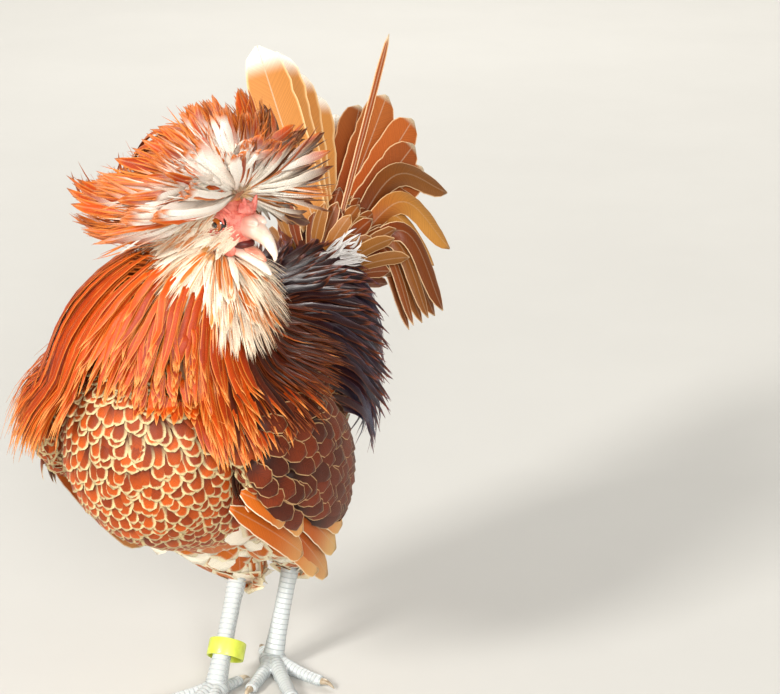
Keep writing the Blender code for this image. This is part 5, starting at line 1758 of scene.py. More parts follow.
@dataclass
class Crest:
    """The globe of lances that spread from above the bill, arch over and hang."""

    shop: Workshop
    skin: Skin
    count: int = 1500
    spikes: int = 250  # how many of them are longer and broader
    wisps: int = 1300
    clumps: int = 80
    half_width: float = 0.0024
    stations: int = 14

    POLE = unit((0.90, 0.0, -0.42))  # where the crest parts: from the knob to the comb
    # Long soft crest keratin, buff towards its end and cream where it springs.
    LANCE = Feathering("crest_feather", "#D05208", "#A43404", "#E88C3C", lace_mm=0.55, lace_soft_mm=0.7,
                       second="#FFFBF0", tip="#C8641E", tip_from=0.84, down="#F0DDB8",
                       down_until=0.06, shaft=0.15, barb_depth=0.35)
    # The same feather in brown: painted shade on the crest's left side.
    DARK = Feathering("crest_feather_painted_shade", "#8A4418", "#4E1E0A", "#C89058", lace_mm=0.5,
                      lace_soft_mm=0.6, second="#FFF8EA", tip="#6A2E10", tip_from=0.8,
                      down="#D9B482", down_until=0.08, shaft=0.15, barb_depth=0.35)
    AHEAD, BEHIND, ASIDE, ABOVE = 0.064, 0.100, 0.092, 0.054  # the crest's reach from the knob
    LOWEST, BROW = -0.52, 0.42  # the least rise of a tip, at the sides and over the bill
    CLUMPING = 0.76  # how far tips go to the middle of their clump
    INNERMOST = 0.58  # how far out the nearest tips lie, over the reach
    CREAMY = 0.88  # the share of feathers with any cream

    def reach(self, turn: Array, rise: Array) -> Array:
        """How far the crest reaches from the knob in a direction.

        With c the turn's cosine and s its sine, front and rear have the shares
        (1 + c) / 2 and (1 - c) / 2, and the sides have s^2 over these. What is above
        has the rise's sine to the power of 1.1 over all of them.

        Args:
            turn: Turns from the front.
            rise: Rises.

        Returns:
            The distances.
        """
        front, sideways = 0.5 + 0.5 * np.cos(turn), np.sin(turn) ** 2
        level = (self.AHEAD * front + self.BEHIND * (1 - front)) * (1 - sideways) + self.ASIDE * sideways
        steep = np.sin(np.maximum(rise, 0.0)) ** 1.1
        return level * (1 - steep) + self.ABOVE * steep

    def directions(self, count: int) -> tuple[Array, Array]:
        """Even directions over the crest.

        Args:
            count: How many.

        Returns:
            Their turns from the front, and their rises.
        """
        draw = self.shop.draw
        rise = np.arcsin(draw.uniform(math.sin(self.LOWEST), 1.0, count * 3))
        turn = draw.uniform(-math.pi, math.pi, count * 3)
        far = turn > 0.0  # on the left the fringe hangs further forward
        aside = ease(np.abs(turn), np.where(far, 0.30, 0.55), np.where(far, 1.20, 1.75))
        above = rise > self.LOWEST + (self.BROW - self.LOWEST) * (1 - aside)
        return turn[above][:count], rise[above][:count]

    @staticmethod
    def way(turn: Array, rise: Array) -> Array:
        """Directions in the head's axes, by turn from the front and rise."""
        return np.stack([np.cos(rise) * np.cos(turn), np.cos(rise) * np.sin(turn), np.sin(rise)], -1)

    def grown(self, turn: Array, rise: Array, share: Array, first: Array, droop: float,
              stations: int) -> tuple[Roots, Array, Array, Array]:
        """Feathers that sweep from the pole over the globe to their tips.

        A station's direction is part of the way along the arc from the pole to the
        tip's own direction. Its distance from the knob's middle climbs from the knob's
        surface to the tip's, fast at first.

        Args:
            turn: The tips' turns from the front.
            rise: The tips' rises.
            share: How far out each tip lies, over the crest's reach.
            first: The angle between the pole and each root.
            droop: How far the tips at the sides sink, over their distance.
            stations: How many stations a feather has.

        Returns:
            The roots, the spines, the outward directions and each station's angle from
            the pole.
        """
        tip_way = self.way(turn, rise)
        polar = np.arccos(np.clip(tip_way @ self.POLE, -1.0, 1.0))[:, None]
        t = np.linspace(0.0, 1.0, stations)
        begin = np.minimum(first[:, None], 0.8 * polar)
        angle = begin + (polar - begin) * t**0.55
        ways = (np.sin(polar - angle)[..., None] * self.POLE
                + np.sin(angle)[..., None] * tip_way[:, None]) / np.sin(polar)[..., None]
        low = KNOB_SKIN / np.linalg.norm(ways / KNOB, axis=2)
        far = (share * self.reach(turn, rise))[:, None]
        climb = t**0.95
        local = KNOB_AT + ways * (low * (1 - climb) + far * climb)[..., None]
        spine = in_head(local)
        pull = clumped(spine[:, -1], self.shop.draw, self.clumps, self.CLUMPING)
        pull[:, 2] -= droop * far[:, 0] * np.cos(rise) ** 2 * ease(np.abs(turn), 0.9, 1.8)
        behind = ease(polar[:, 0], 1.9, 2.6) * ease(rise, -0.2, 0.5)
        pull += behind[:, None] * (-0.008 * FORWARD - 0.034 * UP)
        spine = spine + pull[:, None] * (t**1.3)[None, :, None]
        return self.skin.rooted(spine[:, 0]), spine, ways @ AXES, angle

    def build(self) -> None:
        """Makes the buff feathers, those on the left painted brown as shade, and the loose barbs."""
        draw = self.shop.draw
        turn, rise = self.directions(self.count)
        count = len(turn)
        share = self.INNERMOST + (1 - self.INNERMOST) * draw.random(count) ** 0.8
        share[:self.spikes] = draw.uniform(0.94, 1.07, self.spikes)
        first = draw.uniform(0.14, 1.15, count)
        roots, spine, out, angle = self.grown(turn, rise, share, first, 0.12, self.stations)
        clear = self.clear(spine)
        run = np.linspace(0.0, 1.0, self.stations)
        half = self.half_width * Outline.LEAF.widths(self.stations) * draw.uniform(0.65, 1.25, (count, 1))
        half[:self.spikes] *= 1 + 0.7 * ease(run, 0.40, 0.70)
        side = unit(np.cross(spine[:, -1] - spine[:, 0], out[:, 0]))
        sway = side * draw.normal(size=(count, 1)) * 0.004
        spine = spine + sway[:, None] * run[None, :, None] ** 2
        out = out + side[:, None] * draw.normal(size=(count, 1, 1)) * 0.30
        shade = self.paleness(angle, turn)
        plumes = Plumes(roots, spine, out, half, draw.random(count), shade)
        # Painted shade: the left side, most of all low down, takes the brown finish.
        brown = draw.random(count) < ease(np.sin(turn + 0.05), 0.20, 0.80) * ease(-rise, -1.1, -0.1)
        plumes, brown = plumes.kept(clear), brown[clear]
        vane = Vane(Vane.SLIM, cup=0.35, ragged=0.22, barb_mm=0.6)
        for name, mask, finish, *nodes in (("crest_feathers", ~brown, self.LANCE, "crest"),
                                           ("crest_feathers_painted_shade", brown, self.DARK)):
            self.shop.keep(vane.mesh(self.shop, name, plumes.kept(mask), finish), "cream_plumage", *nodes)
        self.fluff()

    @staticmethod
    def clear(spine: Array) -> Array:
        """Which feathers pass neither eye nor bill.

        Args:
            spine: The feathers, (feather, station, 3).

        Returns:
            True for each feather that does.
        """
        local = from_head(spine)
        near = (local[..., 1] < 0.024) & (local[..., 0] > -0.004) & (local[..., 2] < 0.0085)
        return ~near.any(axis=1)

    def paleness(self, angle: Array, turn: Array) -> Array:
        """How cream each station is: most so near the pole, and over a shorter way ahead.

        Args:
            angle: Each station's angle from the pole.
            turn: The tips' turns from the front.

        Returns:
            The shades, (feather, station).
        """
        draw, count = self.shop.draw, len(angle)
        ahead = ease(np.cos(turn - 0.6), 0.35, 0.90)[:, None]
        until = draw.normal(1.58, 0.16, (count, 1)) - 0.50 * ahead
        pale = draw.uniform(0.80, 1.0, (count, 1)) * (draw.random((count, 1)) < self.CREAMY)
        run = np.linspace(0.0, 1.0, angle.shape[1])
        tipped = ease(run, 0.66 - 0.30 * ahead, 0.90) * ease(angle[:, -1:] + 0.85 * ahead, 1.35, 1.75)
        return pale * (1 - ease(angle - until, -0.20, 0.22)) * (1 - 0.9 * tipped)

    def fluff(self, stations: int = 9) -> None:
        """Hair-thin loose barbs over the crest.

        Args:
            stations: How many stations a barb has.
        """
        draw = self.shop.draw
        turn, rise = self.directions(self.wisps)
        count = len(turn)
        share, first = draw.uniform(0.55, 0.98, count), draw.uniform(0.30, 1.4, count)
        roots, spine, out, angle = self.grown(turn, rise, share, first, 0.10, stations)
        clear = self.clear(spine)
        run = np.linspace(0.0, 1.0, stations)
        sway = unit(draw.normal(size=(count, 3))) * draw.uniform(0.002, 0.009, (count, 1))
        spine = spine + sway[:, None] * run[None, :, None] ** 2
        half = 0.00060 * Outline.TUFT.widths(stations) * np.ones((count, 1))
        plumes = Plumes(roots, spine, out, half, draw.random(count), self.paleness(angle, turn)).kept(clear)
        finish = replace(self.LANCE, name="crest_barb", shaft=0.0)
        vane = Vane(Vane.SLIM, cup=0.2, ragged=0.1, thick=0.0002)
        self.shop.keep(vane.mesh(self.shop, "crest_wisps", plumes, finish), "cream_plumage")


@dataclass
class Beard:
    """The full beard below the bill and the muffs over both cheeks."""

    shop: Workshop
    skin: Skin

    # Short soft keratin in patches of cream and orange round the open bill.
    TUFT = Feathering("beard_feather", "#E67A1E", "#C85E14", "#FDE6BC", lace_mm=0.35, lace_soft_mm=0.5,
                      second="#FFF2DC", tip="#FFF0D2", tip_from=0.88, down="#E0A060", down_until=0.12,
                      shaft=0.2, barb_depth=0.3)

    SPACING, CHEEK_SPACING = 0.0038, 0.0027
    LENGTH, MUFF_LENGTH = 0.027, 0.028
    MUFF_COUNT = 190  # feathers on each muff
    # Name, barbs to each place, half width, stations, length over the place's own.
    KINDS = (("beard_tufts", 1, 0.0024, 9, 1.0), ("beard_wisps", 3, 0.0005, 7, 1.15))
    # Two plane waves over the beard, in radians a metre: their sum makes its patches.
    WAVES = np.array(((310.0, 190.0, 240.0), (-170.0, 260.0, 330.0)))

    def spots(self) -> tuple[Array, Array, Array]:
        """Places on throat, muffs and cheeks.

        Returns:
            The places, the ways the feathers grow, and their lengths.
        """
        draw = self.shop.draw
        at, share, angle = THROAT.scatter(self.SPACING, draw, 0.10, 0.97, grow=THROAT_OFF)
        out = unit(at - THROAT.points(share, angle, -0.008))
        places, ways = [at], [THROAT.along(share, angle, 0.01) + 0.75 * out]
        sizes = [np.full(len(at), self.LENGTH)]
        for side in (RIGHT, LEFT):
            way = unit(draw.normal(size=(self.MUFF_COUNT, 3)) + (0.0, 0.9 * side, 0.0))
            way[:, 1] = np.abs(way[:, 1]) * side
            places.append(in_head(MUFF_AT * (1, side, 1) + way * MUFF * 0.72))
            ways.append(unit(way * 0.5 + (-0.60, 0.35 * side, -0.75)) @ AXES)
            sizes.append(np.full(self.MUFF_COUNT, self.MUFF_LENGTH))
        at, _, _ = SKULL.scatter(self.CHEEK_SPACING, draw, 0.08, 0.96, grow=SKULL_OFF)
        x, y, z = from_head(at).T
        from_eye = np.hypot(x - Head.EYE_AT[0], z - Head.EYE_AT[2])
        gape = (x > 0.008) & (z < -0.008)
        cheek = (from_eye > 0.0070) & ~gape & (z > -0.017)
        brow = ease(z, 0.004, 0.010)
        sweep = np.stack([-0.80 - 0.1 * brow, (0.75 + 0.3 * brow) * np.sign(y),
                          14.0 * np.minimum(z, 0.006) - 0.25 - 0.35 * brow], -1)
        places.append(at[cheek])
        ways.append(unit(sweep[cheek]) @ AXES)
        sizes.append(0.0135 + 0.50 * np.maximum(0.0150 - x[cheek], 0.0))
        return np.vstack(places), np.vstack(ways), np.concatenate(sizes)

    def build(self) -> None:
        """Makes the tufts, then the loose barbs between them."""
        draw = self.shop.draw
        places, ways, sizes = self.spots()
        found, kept = self.skin.roots(places, 0.006)
        ways, sizes = ways[kept], sizes[kept]
        for name, repeat, half_width, stations, longer in self.KINDS:
            again = np.repeat(np.arange(len(found)), repeat)
            roots, way, count = found.kept(again), ways[again], len(again)
            length = sizes[again] * longer * draw.uniform(0.75, 1.1, count)
            way = unit(way + 0.18 * draw.normal(size=way.shape))
            run = np.linspace(0.0, 1.0, stations)
            spine = roots.at[:, None] + way[:, None] * (length[:, None] * run)[..., None]
            spine[..., 2] -= (0.32 * length[:, None]) * run**2
            pulled = clumped(spine[:, -1], draw, max(90, count // 8), 0.5)
            spine = spine + pulled[:, None] * run[None, :, None] ** 1.5
            spine[:, 0] -= way * 0.002
            out = np.tile((roots.out + 0.5 * UP)[:, None], (1, stations, 1))
            half = half_width * Outline.TUFT.widths(stations) * draw.uniform(0.8, 1.2, (count, 1))
            half = half * np.minimum(length / 0.020, 1.0)[:, None]
            patch = np.sin(roots.at @ self.WAVES.T).sum(axis=1)
            white = ease(patch + draw.normal(0.0, 0.35, count), -0.6, 0.0)
            shade = white[:, None] * np.ones(stations)
            plumes = Plumes(roots, spine, out, half, draw.random(count), shade)
            finish = replace(self.TUFT, name=name, lace_mm=self.TUFT.lace_mm / repeat**2)
            obj = Vane(Vane.SLIM, cup=0.3, ragged=0.25).mesh(self.shop, name, plumes, finish)
            self.shop.keep(obj, "cream_plumage", *(["beard"] if repeat == 1 else []))


# ------------------------------------------------------------------------ the head
@dataclass
class Head:
    """The naked face, the lids, the open bill, the tongue, the comb and the eyes."""

    shop: Workshop

    # Warm blood-filled skin, pebbled and faintly see-through: bare flesh round the eye.
    FACE = Hide("caruncled_face", "#F29A88", "#CC5240", grain_mm=0.8, bump_mm=0.35, roughness=0.42,
                subsurface=0.25)
    # The same skin with a coarser grain: soft points in front of the crest.
    COMB = Hide("comb_skin", "#F29C8E", "#C24A3E", grain_mm=1.0, bump_mm=0.3, roughness=0.4, subsurface=0.3)
    # Soft mucous skin, red, painted dark as the shade deep behind the open bill.
    MOUTH = Hide("mouth_lining_painted_shade", "#6A1A12", "#3A0A08", grain_mm=1.0, bump_mm=0.1, roughness=0.5)
    # Smooth pale horn that grows out of pink flesh: the brightest highlight of the head.
    HORN = Hide("bill_horn", "#FFF2E6", "#EBC0A8", grain_mm=5.0, bump_mm=0.03, roughness=0.32,
                coat=0.25, subsurface=0.15, groove="#E58C7C")
    # Wet pink muscle.
    FLESH = Hide("tongue_flesh", "#F2B79E", "#C87862", grain_mm=1.0, bump_mm=0.08, roughness=0.3,
                 coat=0.4, subsurface=0.3)

    # Sections in the head's own axes: centre, half width, half height.
    UPPER = ((0.008, 0.0, 0.001, 0.0075, 0.0072), (0.017, 0.0, 0.001, 0.0083, 0.0078),
             (0.0255, 0.0, -0.001, 0.0068, 0.0060), (0.034, 0.0, -0.0055, 0.0044, 0.0042),
             (0.0400, 0.0, -0.013, 0.0021, 0.0024), (0.0405, 0.0, -0.018, 0.0, 0.0))
    LOWER = ((0.006, 0.0, -0.0150, 0.0072, 0.0032), (0.014, 0.0, -0.0166, 0.0078, 0.0032),
             (0.024, 0.0, -0.0198, 0.0060, 0.0029), (0.032, 0.0, -0.0236, 0.0036, 0.0023),
             (0.0380, 0.0, -0.0274, 0.0, 0.0))
    TONGUE = ((0.015, 0.0, -0.0128, 0.0, 0.0), (0.020, 0.0, -0.0140, 0.0048, 0.0020),
              (0.027, 0.0, -0.0162, 0.0040, 0.0019), (0.0335, 0.0, -0.0192, 0.0, 0.0))
    GAPE_AT, GAPE = (0.0130, 0.0, -0.0108), (0.0085, 0.0074, 0.0040)
    EYE_AT, EYE_RADIUS = np.array((0.0050, 0.0122, 0.0020)), 0.0058
    LID_WIDTH, LID_HEIGHT = 0.0054, 0.86  # half width of the lids' opening, and its height over that
    OPENING, DENT = (0.0050, 0.0041), 0.0015  # half axes of what is dented, how far inside the eye
    # Rolls of the two lids and of the two folds round them: first and last angle, how
    # far out of the cheek, radius.
    LIDS = ((12, 168, 0.0026, 0.0012), (192, 348, 0.0026, 0.0012),
            (-10, 190, 0.0008, 0.0011), (170, 370, 0.0010, 0.0011))
    # Folds of the cheek: middle in x and z, length, radius.
    FOLDS = ((0.004, -0.0085, 0.013, 0.0016), (0.003, -0.0115, 0.012, 0.0017),
             (0.006, 0.0098, 0.012, 0.0015), (0.013, -0.0060, 0.008, 0.0015))
    MOUTH_CORNER, CORNER = (0.0085, 0.0078, -0.0150), (0.0060, 0.0024, 0.0048)
    COMB_AT, COMB_ROOT = (0.0175, 0.0, 0.0120), (0.0036, 0.0070, 0.0040)
    # Points of the comb: foot, height.
    SPIKES = ((0.0185, 0.0048, 0.0160, 0.0085), (0.0165, 0.0064, 0.0140, 0.0060),
              (0.0200, 0.0028, 0.0135, 0.0045))
    NOSTRIL_AT, NOSTRIL = (0.0220, 0.0040, 0.0048), (0.0072, 0.0036, 0.0038)
    SLIT_AT, SLIT, SLIT_DEPTH = (0.0262, 0.0074, 0.0056), (0.0022, 0.003, 0.0009), 0.0016

    def build(self) -> None:
        """Makes all that shows of the head between crest and beard."""
        self.face()
        self.comb()
        self.bill()
        self.eyes()

    def face(self) -> None:
        """Skull with brow, cheek folds, lids and corners of the mouth, fused to one."""
        parts = [SKULL.shape(36, 48)]
        for side in (RIGHT, LEFT):
            for first, last, out, radius in self.LIDS:
                turn = np.radians(np.linspace(first, last, 22))
                far = self.LID_WIDTH + (0.0026 - out) * 1.35
                ring = np.stack([far * np.cos(turn), np.full(22, out * side),
                                 self.LID_HEIGHT * far * np.sin(turn)], -1)
                radii = radius * (0.45 + 0.65 * np.sin(np.linspace(0, math.pi, 22)))
                parts.append(tube(in_head(self.EYE_AT * (1, side, 1) + ring), radii, 12, HEAD_LEFT))
            t = np.linspace(-0.5, 0.5, 14)
            for k, (x, z, span, thick) in enumerate(self.FOLDS):
                line = np.stack([x + span * t, side * (0.0128 - 31.2 * (t * span) ** 2 - 0.0006 * k),
                                 z + 0.0025 * np.cos(math.pi * t)], -1)
                radii = thick * np.cos(math.pi * t * 0.9) ** 0.5
                parts.append(tube(in_head(line), radii, 12, HEAD_LEFT))
            parts.append(ball(in_head(self.MOUTH_CORNER * np.array((1, side, 1))), self.CORNER, AXES))
        face = remeshed(self.shop.mesh("face", Shape.joined(parts)), 0.00035, 5)
        self.dent_eyes(face)
        self.shop.keep(painted(face, self.FACE), "red_skin")

    def comb(self) -> None:
        """The small comb: a root with three points on each side."""
        parts = [ball(in_head(self.COMB_AT), self.COMB_ROOT, AXES, 20, 28)]
        for side in (RIGHT, LEFT):
            for k, (x, y, z, height) in enumerate(self.SPIKES):
                lean = np.array((0.1, 0.25 * side, 1.0)) * height
                path = np.array((x, y * side, z)) + lean * np.linspace(-0.5, 0.55, 12)[:, None]
                radii = 0.0026 * (1 - 0.12 * k) * np.sqrt(np.linspace(1.0, 0.02, 12))
                parts.append(tube(in_head(path), radii, 16, FORWARD))
        comb = remeshed(self.shop.mesh("comb_fine", Shape.joined(parts)), 0.0004, 3)
        self.shop.keep(painted(comb, self.COMB), "red_skin", "comb")

    def dent_eyes(self, face: bpy.types.Object) -> None:
        """Presses all skin in front of the eyeballs back behind them.

        A point inside the lids' opening, an ellipse, is moved to 1.5 mm inwards of the
        eyeball's middle.

        Args:
            face: The face.
        """
        local = from_head(self.shop.places(face))
        for side in (RIGHT, LEFT):
            away = local - self.EYE_AT * (1, side, 1)
            inside = ((away[:, [0, 2]] / self.OPENING) ** 2).sum(axis=1) < 1
            inside &= away[:, 1] * side > -0.004
            local[inside, 1] = side * (self.EYE_AT[1] - self.DENT)
        self.shop.move(face, in_head(local))

    def bill(self) -> None:
        """Both halves of the bill, with the vaulted nostrils, the tongue and the gape."""
        lumps = [ball(in_head(np.array(self.NOSTRIL_AT) * (1, side, 1)), self.NOSTRIL, AXES, 24, 32)
                 for side in (RIGHT, LEFT)]
        vault = Shape.joined([head_loft(*self.UPPER).shape(48, 48), *lumps])
        upper = self.shop.mesh("bill_upper_fine", vault)
        self.nostrils(remeshed(upper, 0.00038, 4))
        lower = self.shop.mesh("bill_lower_fine", head_loft(*self.LOWER).shape(40, 44))
        tongue = self.shop.mesh("tongue_fine", head_loft(*self.TONGUE).shape(28, 28))
        gape = self.shop.mesh("gape", ball(in_head(self.GAPE_AT), self.GAPE, AXES, 20, 28))
        self.blush(upper, 0.75, 0.019, 0.031)
        self.blush(lower, 0.60, 0.010, 0.024)
        for obj, finish, slot, *nodes in ((upper, self.HORN, "horn", "bill_upper"),
                                          (lower, self.HORN, "horn", "bill_lower"),
                                          (tongue, self.FLESH, "red_skin", "tongue"),
                                          (gape, self.MOUTH, "red_skin")):
            self.shop.keep(painted(obj, finish), slot, *nodes)

    def blush(self, obj: bpy.types.Object, most: float, first: float, last: float) -> None:
        """Stores how fleshy a half of the bill is: most at its root, none from last on.

        Args:
            obj: The half of the bill.
            most: The share at the root.
            first: Distance before the skull's middle where it begins to fade.
            last: Distance where it has faded.
        """
        ahead = from_head(self.shop.places(obj))[:, 0]
        attribute(obj, "groove", most * (1 - ease(ahead, first, last)))
        attribute(obj, "plated", 0 * ahead)

    def nostrils(self, upper: bpy.types.Object) -> None:
        """Dents a slit into each nostril's vault: depth exp(-(distance / size)^2).

        Args:
            upper: The upper half of the bill.
        """
        local = from_head(self.shop.places(upper))
        for side in (RIGHT, LEFT):
            away = (local - np.array(self.SLIT_AT) * (1, side, 1)) / self.SLIT
            local[:, 1] -= side * self.SLIT_DEPTH * np.exp(-(away**2).sum(axis=1))
        self.shop.move(upper, in_head(local))

    def eyes(self) -> None:
        """The eyeballs, whose front carries iris and pupil."""
        for word, side in (("right", RIGHT), ("left", LEFT)):
            centre = in_head(self.EYE_AT * (1, side, 1))
            axes = np.stack([-FORWARD * side, HEAD_UP, HEAD_LEFT * side])
            globe = ball(centre, (self.EYE_RADIUS,) * 3, axes, 48, 64)
            eye = self.shop.mesh(f"eye_{word}_fine", globe)
            away = unit(globe.verts - centre) @ (HEAD_LEFT * side)
            attribute(eye, "facing", np.degrees(np.arccos(np.clip(away, -1, 1))))
            self.shop.keep(painted(eye, Iris()), "eye", f"eye_{word}")


# ------------------------------------------------------------------------ the legs
def on_floor(shape: Shape) -> Shape:
    """The shape with all that is below the floor pressed flat on to it."""
    shape.verts[:, 2] = np.maximum(shape.verts[:, 2], 0.0)
    return shape


@dataclass
class Leg:
    """One scaly shank with its foot and claws."""

    shop: Workshop
    word: str
    side: float

    # Hard pale scale, slate-grey and faintly glossy, darker in the gaps between its plates.
    SCALE = Hide("leg_scale", "#C6CCCD", "#A3AAAC", grain_mm=2.4, bump_mm=0.22, roughness=0.42,
                 coat=0.1, subsurface=0.05, cells=True, groove="#959C9E")
    # Worn horn, pale and faintly polished.
    CLAW = Hide("claw_horn", "#E0CFB4", "#7C6A52", grain_mm=3.0, bump_mm=0.03, roughness=0.35, coat=0.2)
    TURN = {RIGHT: math.radians(-8.0), LEFT: math.radians(42.0)}  # how far a foot points leftwards
    # Name, angle off the foot's front, length, half width.
    TOES = (("inner", 34.0, 0.046, 0.0044), ("middle", 0.0, 0.060, 0.0048),
            ("outer", -34.0, 0.048, 0.0044), ("hind", 178.0, 0.026, 0.0040))
    SHANK_RADIUS, ANKLE_RADIUS = 0.0062, 0.0080
    SHANK_RADII = (ANKLE_RADIUS, 0.0066, 0.0060, 0.0060, 0.0072, 0.0068)
    SHANK_PITCH, TOE_PITCH, PLATE = 0.0038, 0.0034, 0.0006  # the plates' lengths and thickness
    GROOVE = 0.00028  # half width of the dark gap between two plates
    HEEL = (0.0098, 0.0105)  # half the width and length of the foot's middle
    CLAW_LENGTH, CLAW_RADIUS = 0.013, 0.0030
    SHANK_RINGS, TOE_RINGS = 280, 110

    def shape(self, line: Array, radii: tuple[float, ...], pitch: float, front: Array,
              rings: int) -> Shape:
        """A scaled rod: its front carries overlapping plates like a saw's teeth.

        The radius grows by PLATE * (1 - phase^0.6) * facing, where phase runs from 0 to
        1 over each plate and facing is the cosine of the angle off the front, to the
        power of 0.7.

        Args:
            line: Points that the rod's axis passes.
            radii: Radii at even steps along it.
            pitch: The length of a plate.
            front: The side that carries the plates.
            rings: How many sections it has.

        Returns:
            The closed rod.
        """
        t = np.linspace(0.0, 1.0, rings)
        path = spline(line, t)
        base = np.interp(t, np.linspace(0, 1, len(radii)), radii)
        run = np.concatenate([[0.0], np.cumsum(np.linalg.norm(np.diff(path, axis=0), axis=1))])
        phase = (run / pitch) % 1.0
        sides = 28
        facing = np.maximum(np.sin(turns(sides)), 0.0) ** 0.7
        plate = self.PLATE * (1 - phase ** 0.6)[:, None] * facing
        ends = np.sqrt(np.clip(np.minimum(t, 1 - t) * rings / 5.0, 0.02, 1.0))
        return tube(path, (base[:, None] + plate) * ends[:, None], sides, front)

    def build(self) -> None:
        """Makes the shank, the foot and the four claws."""
        ankle, hock = np.array((*FOOT_AT[self.side], self.ANKLE_RADIUS)), np.array(HOCK_AT[self.side])
        line = ankle + (hock - ankle) * np.linspace(0.0, 1.10, 6)[:, None]
        foot_turn = self.TURN[self.side]
        front = np.array((math.sin(foot_turn), -math.cos(foot_turn), 0.1))
        rod = self.shape(line, self.SHANK_RADII, self.SHANK_PITCH, front, self.SHANK_RINGS)
        shank = painted(self.shop.mesh(f"shank_{self.word}_fine", rod), self.SCALE)
        self.grooves(shank, [(ankle, unit(hock - ankle))], self.SHANK_PITCH, unit(front))
        self.shop.keep(shank, "slate_scale", f"shank_{self.word}")
        start = np.array((*FOOT_AT[self.side], 0.0))
        heel = start + UP * self.ANKLE_RADIUS * 0.9
        parts = [ball(heel, (*self.HEEL, self.ANKLE_RADIUS * 0.98))]
        lines: list[tuple[Array, Array]] = []
        for name, angle, length, radius in self.TOES:
            turn = foot_turn - self.side * math.radians(angle)
            ahead = np.array((math.sin(turn), -math.cos(turn), 0.0))
            parts += self.toe(start, ahead, length, radius)
            tip = start + ahead * length + UP * radius * 0.84
            self.claw(name, tip - ahead * 0.001, ahead)
            lines.append((start, ahead))
        foot = self.shop.mesh(f"foot_{self.word}_fine", on_floor(Shape.joined(parts)))
        foot = painted(remeshed(foot, 0.00048, 1), self.SCALE)
        self.grooves(foot, lines, self.TOE_PITCH, UP)
        self.shop.keep(foot, "slate_scale", f"foot_{self.word}")

    def toe(self, start: Array, ahead: Array, length: float, radius: float) -> list[Shape]:
        """A toe: its scaled rod and the pads of its three joints.

        Args:
            start: The middle of the foot, on the floor.
            ahead: The toe's direction.
            length: Its length from there.
            radius: Its half width.

        Returns:
            The rod and the pads.
        """
        heights = (self.ANKLE_RADIUS, radius * 1.2, radius * 0.84, radius * 0.84)
        line = np.array([start + ahead * length * t + UP * z
                         for t, z in zip((0.06, 0.36, 0.72, 1.0), heights)])
        radii = tuple(radius * share for share in (1.25, 1.10, 0.98, 0.84))
        pads = [ball(start + ahead * length * t + UP * radius * 0.85,
                     (radius * 1.12, radius * 1.12, radius * 0.9), None, 12, 18)
                for t in (0.40, 0.70, 0.93)]
        return [self.shape(line, radii, self.TOE_PITCH, UP, self.TOE_RINGS), *pads]

    def claw(self, name: str, root: Array, ahead: Array) -> None:
        """Makes a claw: a rod that thins as it arches down to the floor.

        Args:
            name: The toe's name.
            root: Where it springs.
            ahead: The toe's direction.
        """
        t = np.linspace(0.0, 1.0, 26)
        arch = 0.0012 * np.sin(math.pi * t) - 0.0022 * t**2
        axis = root + ahead * (self.CLAW_LENGTH * t)[:, None] + UP * arch[:, None]
        claw = on_floor(tube(axis, self.CLAW_RADIUS * (1.02 - 0.94 * t**1.2), 20, UP, 0.9))
        obj = self.shop.mesh(f"claw_{self.word}_{name}_fine", claw)
        self.shop.keep(painted(obj, self.CLAW), "horn", f"claw_{self.word}_{name}")

    def grooves(self, obj: bpy.types.Object, lines: list[tuple[Array, Array]], pitch: float,
                front: Array) -> None:
        """Stores how near each point is to the edge of a plate, on the front only.

        Args:
            obj: The shank or the foot.
            lines: For each toe, or the shank: its start and its direction.
            pitch: The length of a plate.
            front: The side that carries the plates.
        """
        points = self.shop.places(obj)
        facing = ease(vertex_rows(obj, "normal") @ front, 0.05, 0.35)
        runs = np.stack([(points - start) @ way for start, way in lines])
        aside = np.stack([np.linalg.norm(points - start - run[:, None] * way, axis=1)
                          for (start, way), run in zip(lines, runs)])
        nearest = np.where(runs < 0, 1.0, aside).argmin(axis=0)
        phase = (runs / pitch % 1.0)[nearest, np.arange(len(points))]
        edge = np.minimum(phase, 1.0 - phase) * pitch
        attribute(obj, "groove", np.exp(-(edge / self.GROOVE) ** 2) * facing)
        attribute(obj, "plated", facing)


